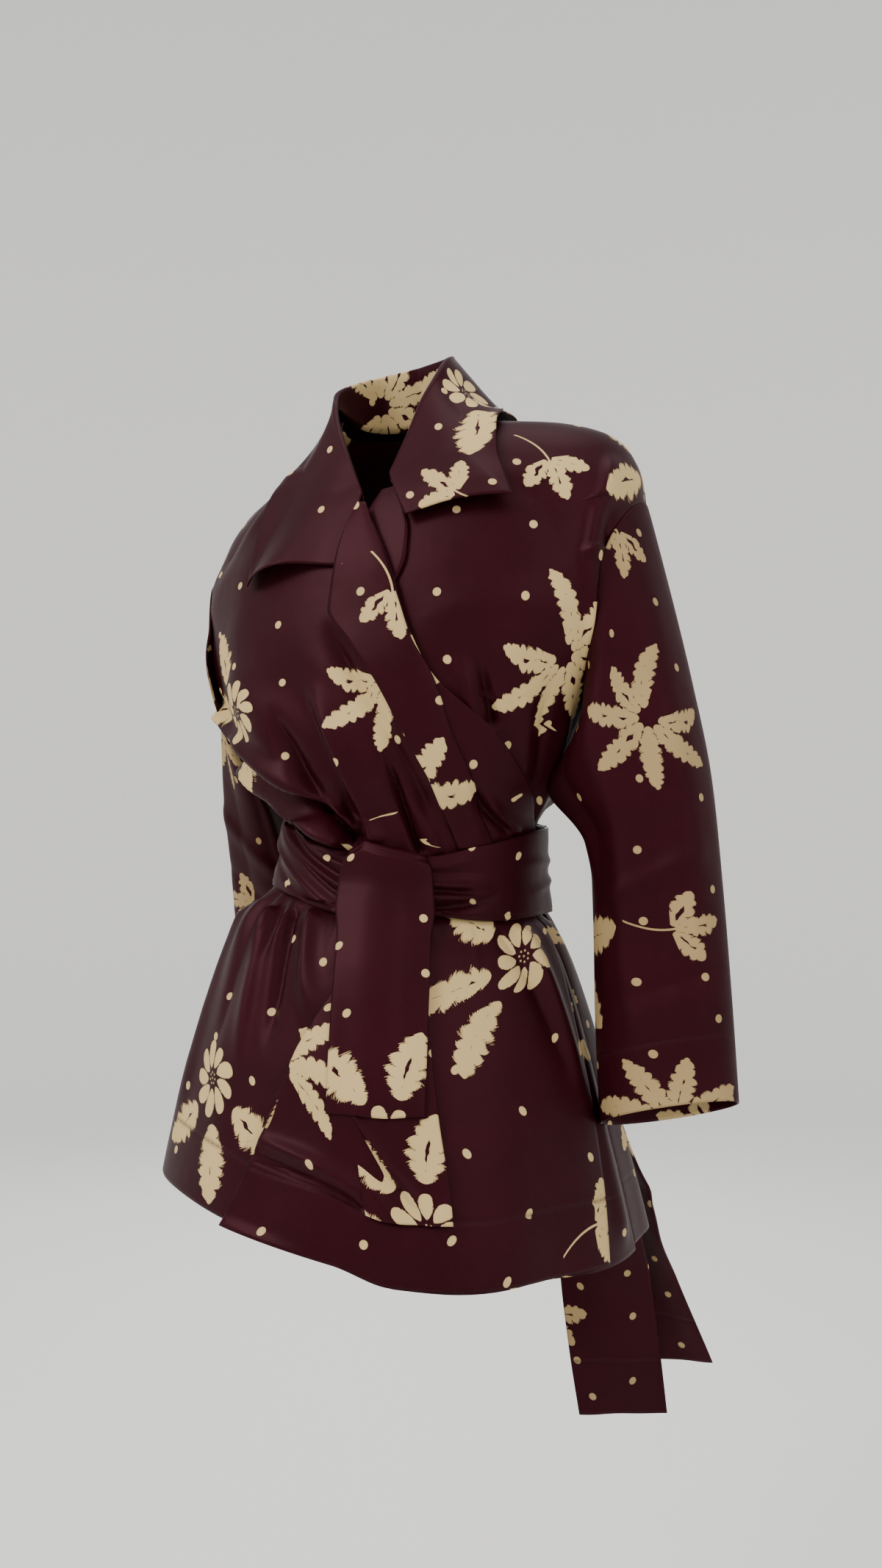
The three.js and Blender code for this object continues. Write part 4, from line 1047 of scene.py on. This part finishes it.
def posy(u, v, rough_edge):
    """A blossom of nine petals round a dark eye with a ring of seeds, over a fan of three broad leaves."""
    x, y, chance = motif_place(u, v, POSY["at"], 7.0)
    radius = far(x, y)
    around = y.math("ARCTAN2", x)
    number, off = ray(around + radius * 9.0, POSY["gap"])
    own = by_chance(number * 7.31, chance * 41.7)
    t = ((radius - POSY["start"]) / (own * 0.004 + POSY["long"])).between(0.0, 1.0)
    arch = t.math("POWER", 0.7) * (1 - t).math("POWER", 0.35)
    petal = arch * (own * 0.0025 + POSY["wide"] + rough_edge) - (radius * off.math("SINE")).size()
    turn = ((around / EYE["gap"]).fract() - 0.5) * EYE["gap"]
    seed_gap = far(radius * turn.math("COSINE") - EYE["ring"], radius * turn.math("SINE"))
    seeds = EYE["seed"] - seed_gap.least(radius)
    number, off = ray(around, FAN["gap"])
    bend = number * (radius - 0.03) * (radius - 0.03) * 3.0
    along, aside = radius * off.math("COSINE") - FAN["start"], radius * off.math("SINE") - bend
    long = FAN["long"] - number.size() * 0.007
    fan = leaf(along, aside, long, FAN["wide"], FAN["teeth"], 0.014, chance * 30 + number * 4)
    return petal.largest(seeds).between(0.0, SOFT_EDGE).largest(fan * rays_kept(number, FAN["leaves"]))


def sprig(u, v, rough_edge):
    """Three short leaves on a bent stem."""
    x, y, chance = motif_place(u, v, SPRIG["at"], 11.0)
    radius = far(x, y)
    number, off = ray(y.math("ARCTAN2", x), SPRIG["gap"])
    along, aside = radius * off.math("COSINE") - SPRIG["start"], radius * off.math("SINE")
    long = SPRIG["long"] - number.size() * 0.007
    leaves = leaf(along, aside, long, SPRIG["wide"], SPRIG["teeth"], 0.005, chance * 20 + number)
    half = STEM["half"] + rough_edge * 0.12 - (y + x * x * STEM["bend"]).size()
    stem = half.least(STEM["reach"] - (x - STEM["middle"]).size()).between(0.0, 0.0004)
    return (leaves * rays_kept(number, SPRIG["leaves"])).largest(stem)


def scattered_dots(u, v):
    """Round dots on a grid whose columns are shifted, each a little off its square."""
    cell_x, cell_y = u / DOT_GAP, v / DOT_GAP + (u / DOT_GAP).floor() * 0.37
    cell = vector(cell_x.floor(), cell_y.floor(), 1.0)
    chance = u.add("TexWhiteNoise", {"Vector": cell}, out=1, noise_dimensions="3D")
    dx = (cell_x.fract() - 0.5 - (chance.part("X") - 0.5) * 0.5) * DOT_GAP
    dy = (cell_y.fract() - 0.5 - (chance.part("Y") - 0.5) * 0.5) * DOT_GAP
    return (far(dx, dy) - DOT_SIZE).between(0.0002, -0.0002)


def print_mask(u, v):
    """The flowers and leaves, and the dots: 1 where the silk is printed cream, 0 where its ground shows."""
    rough_edge = (u.noise(vector(u * 1000, v * 1000), 0.7, 2.0) - 0.5) * 0.0034
    motifs = spray(u, v).largest(posy(u, v, rough_edge)).largest(sprig(u, v, rough_edge))
    return motifs, scattered_dots(u, v)


GROUND = (0.0160, 0.0007, 0.0025, 1.0)
GROUND_WORN = (0.0215, 0.0012, 0.0040, 1.0)
# the stitches' own dark thread colour, also used as painted shade along the hem's fold and the cloth's edges
STITCH_AND_SHADE_TONE = (0.018, 0.004, 0.006, 1.0)
CREAM = (0.62, 0.455, 0.215, 1.0)
CREAM_DEEP = (0.52, 0.365, 0.16, 1.0)
SHEEN = 0.17
SHEEN_TINT = (1.0, 0.45, 0.52, 1.0)
TWILL = 0.62  # mm between twill lines
STITCH = 6.5  # mm between hem stitches
NO_HEM = -1.0  # an edge distance that no place has


def silk(name, hem=NO_HEM, shift=(0.0, 0.0), reverse=False, flowers=True):
    """Silk satin: a dark ground that varies softly, the cream print, a fine twill, the turned hem's stitch
    line and the ridge of its fold, with painted shade along that ridge and at the cloth's side and lower
    edges, all on the cloth's own maps. The reverse is duller, and the print shows through it."""
    made = bpy.data.materials.new(name)
    made.use_nodes = True
    tree = made.node_tree
    tree.nodes.clear()
    start = Wire(tree, None)
    cloth = start.add("UVMap", {}, uv_map="cloth")
    edge = start.add("UVMap", {}, uv_map="edge")
    u, v = cloth.part("X") + shift[0], cloth.part("Y") + shift[1]
    side, low = edge.part("X"), edge.part("Y")
    place = start.add("TexCoord", {}, out=3)

    motifs, mask = print_mask(u, v)
    if flowers:
        mask = mask.largest(motifs)
    cloudy = start.noise(place, 14.0, 3.0, flat=False)
    worn = cloudy.between(0.35, 0.7)
    grain = start.noise(vector(u * 1000, v * 1000), 1.6, 2.0)
    ground = worn.mixed(GROUND, GROUND_WORN)
    cream = (grain * 0.6 + cloudy * 0.4).between(0.36, 0.62).mixed(CREAM_DEEP, CREAM)
    if reverse:
        cream = cream.faded(GROUND_WORN, 0.38)
    colour = mask.mixed(ground, cream)

    # the hem's dark stitches, and painted shade along the ridge of the hem's fold and at the cloth's side and
    # lower edges
    turned = (low - hem).size()
    stitch_run = (u * 1000 / STITCH).fract()
    stitches = (turned - 0.0006).between(0.0002, -0.0002) * (stitch_run - 0.5).size().between(0.34, 0.22)
    # painted shade: a dark band along the top of the turned hem, where its fold stands as a ridge; the same
    # band also sinks the bump there
    hem_ridge_and_shade = (turned - 0.0016).between(0.0016, -0.0012) * 0.5
    # painted shade: the side and lower edges of the cloth darkened over their last 1.6 mm, where the cloth
    # rolls away
    edge_shade = side.least(low).between(0.0016, 0.0)
    # the dark stitches together with the painted shade of the hem's fold and the edges
    stitches_and_shade = (hem_ridge_and_shade * 0.8 + stitches * 0.2 + edge_shade * 0.12).least(1.0)
    colour = stitches_and_shade.mixed(colour, STITCH_AND_SHADE_TONE)

    twill = ((u + v * 0.45) * 1000 / TWILL).fract()
    weave = (twill - 0.5).size() * 0.10 + grain * 0.55
    soft = start.noise(place, 24.0, 2.0, flat=False)
    height = weave - stitches * 1.6 - hem_ridge_and_shade * 6.0 + mask * 0.10 + soft * 9.0
    bump = start.add("Bump", {"Height": height, "Strength": 0.30, "Distance": 0.0004})
    dull = 0.57 if reverse else 0.45
    rough = (grain - 0.5) * 0.08 + mask * 0.12 + worn * 0.03 + dull

    shader = start.add("BsdfPrincipled", {
        "Base Color": colour, "Roughness": rough, "Normal": bump,
        "Specular IOR Level": SHEEN, "Specular Tint": SHEEN_TINT,
    })
    end = tree.nodes.new("ShaderNodeOutputMaterial")
    tree.links.new(shader.socket, end.inputs["Surface"])
    return made


FLOOR = -1.45
SWEEP_FLAT = 4.0  # radius of the level floor
SWEEP_BEND = 1.6  # radius of its bend into the wall
MIDDLE = -0.33  # height of the jacket's middle
PAPER = (0.96, 0.95, 0.93, 1.0)
AIR = (0.90, 0.92, 0.95, 1.0)
WARM_LIGHT = (1.0, 0.985, 0.965)
CAMERA_TURN = math.radians(21)
CAMERA_AWAY = 1.25
CAMERA_HIGH = -0.29


def plain_studio():
    """A round pale sweep: a floor that bends up into a wall on a quarter circle, round the jacket."""
    angle = np.linspace(0, 2 * math.pi, 97)[None, :]
    bend = np.linspace(0, math.pi / 2, 17)[1:, None]
    wall = SWEEP_FLAT + SWEEP_BEND
    radius = np.concatenate([[[0.001]], [[SWEEP_FLAT]], SWEEP_FLAT + SWEEP_BEND * np.sin(bend), [[wall]]])
    level = np.concatenate([[[0.0]], [[0.0]], SWEEP_BEND * (1 - np.cos(bend)), [[5.5]]]) + FLOOR
    points = np.stack([radius * np.cos(angle), radius * np.sin(angle), level * np.ones_like(angle)], -1)
    floor, _ = grid_object("studio_floor", points)
    paint = bpy.data.materials.new("studio_paper")
    paint.use_nodes = True
    shader = paint.node_tree.nodes["Principled BSDF"]
    shader.inputs["Base Color"].default_value = PAPER
    shader.inputs["Roughness"].default_value = 0.9
    floor.data.materials.append(paint)


def softbox(name, place, size, power):
    """A square soft light at a place, aimed at the jacket's middle."""
    light = bpy.data.lights.new(name, "AREA")
    light.shape, light.size = "SQUARE", size
    light.energy, light.color = power, WARM_LIGHT
    lamp = bpy.data.objects.new(name, light)
    bpy.context.scene.collection.objects.link(lamp)
    x, y, z = place
    lamp.location = place
    lamp.rotation_euler = (math.atan2(math.hypot(x, y), z - MIDDLE), 0, math.atan2(-y, -x) - math.pi / 2)


def camera():
    """A level camera on the wearer's left of straight ahead, at half the jacket's height."""
    lens = bpy.data.cameras.new("camera")
    lens.sensor_fit, lens.sensor_width, lens.lens = "AUTO", 36, 32.95
    lens.shift_x = 0.0173
    eye = bpy.data.objects.new("camera", lens)
    bpy.context.scene.collection.objects.link(eye)
    eye.location = (CAMERA_AWAY * math.sin(CAMERA_TURN), -CAMERA_AWAY * math.cos(CAMERA_TURN), CAMERA_HIGH)
    eye.rotation_euler = (math.pi / 2, 0, CAMERA_TURN)
    bpy.context.scene.camera = eye


def light_up():
    """Pale air all round, a main soft light on the wearer's right and three weaker ones."""
    world = bpy.data.worlds.new("studio_air")
    world.use_nodes = True
    air = world.node_tree.nodes["Background"]
    air.inputs["Color"].default_value = AIR
    air.inputs["Strength"].default_value = 0.84
    bpy.context.scene.world = world
    softbox("key_light", (-1.3, -2.2, 1.5), 1.0, 62)
    softbox("fill_light", (2.4, -1.7, 0.9), 1.4, 23)
    softbox("top_light", (0.3, -0.3, 2.6), 1.6, 29)
    softbox("back_light", (-1.2, 2.6, 0.6), 1.6, 26)


camera()
light_up()
plain_studio()
pieces = make_pieces()
SILKS = {
    "body": silk("silk_body", HEM_DEEP * MM),
    "sleeve": silk("silk_sleeve", CUFF_DEEP * MM, shift=(0.11, 0.17)),
    "collar": silk("silk_collar", shift=(0.03, 0.05)),
    "sash": silk("silk_sash", flowers=False),
    "end": silk("silk_ends", shift=(0.17, 0.129)),
    "inside": silk("silk_inside", HEM_DEEP * MM, reverse=True),
}
KIND = {
    "back": "body", "front_right": "body", "front_left": "body",
    "sleeve_right": "sleeve", "sleeve_left": "sleeve",
    "collar": "collar", "revers_right": "collar", "revers_left": "collar",
    "sash": "sash", "tie_wrap": "sash",
}
for node, piece in pieces.items():
    piece.data.materials.append(SILKS[KIND.get(node, "end")])
    piece.data.materials.append(SILKS["inside"])
    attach(piece, "root")
    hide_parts(node)

bpy.context.view_layer.update()
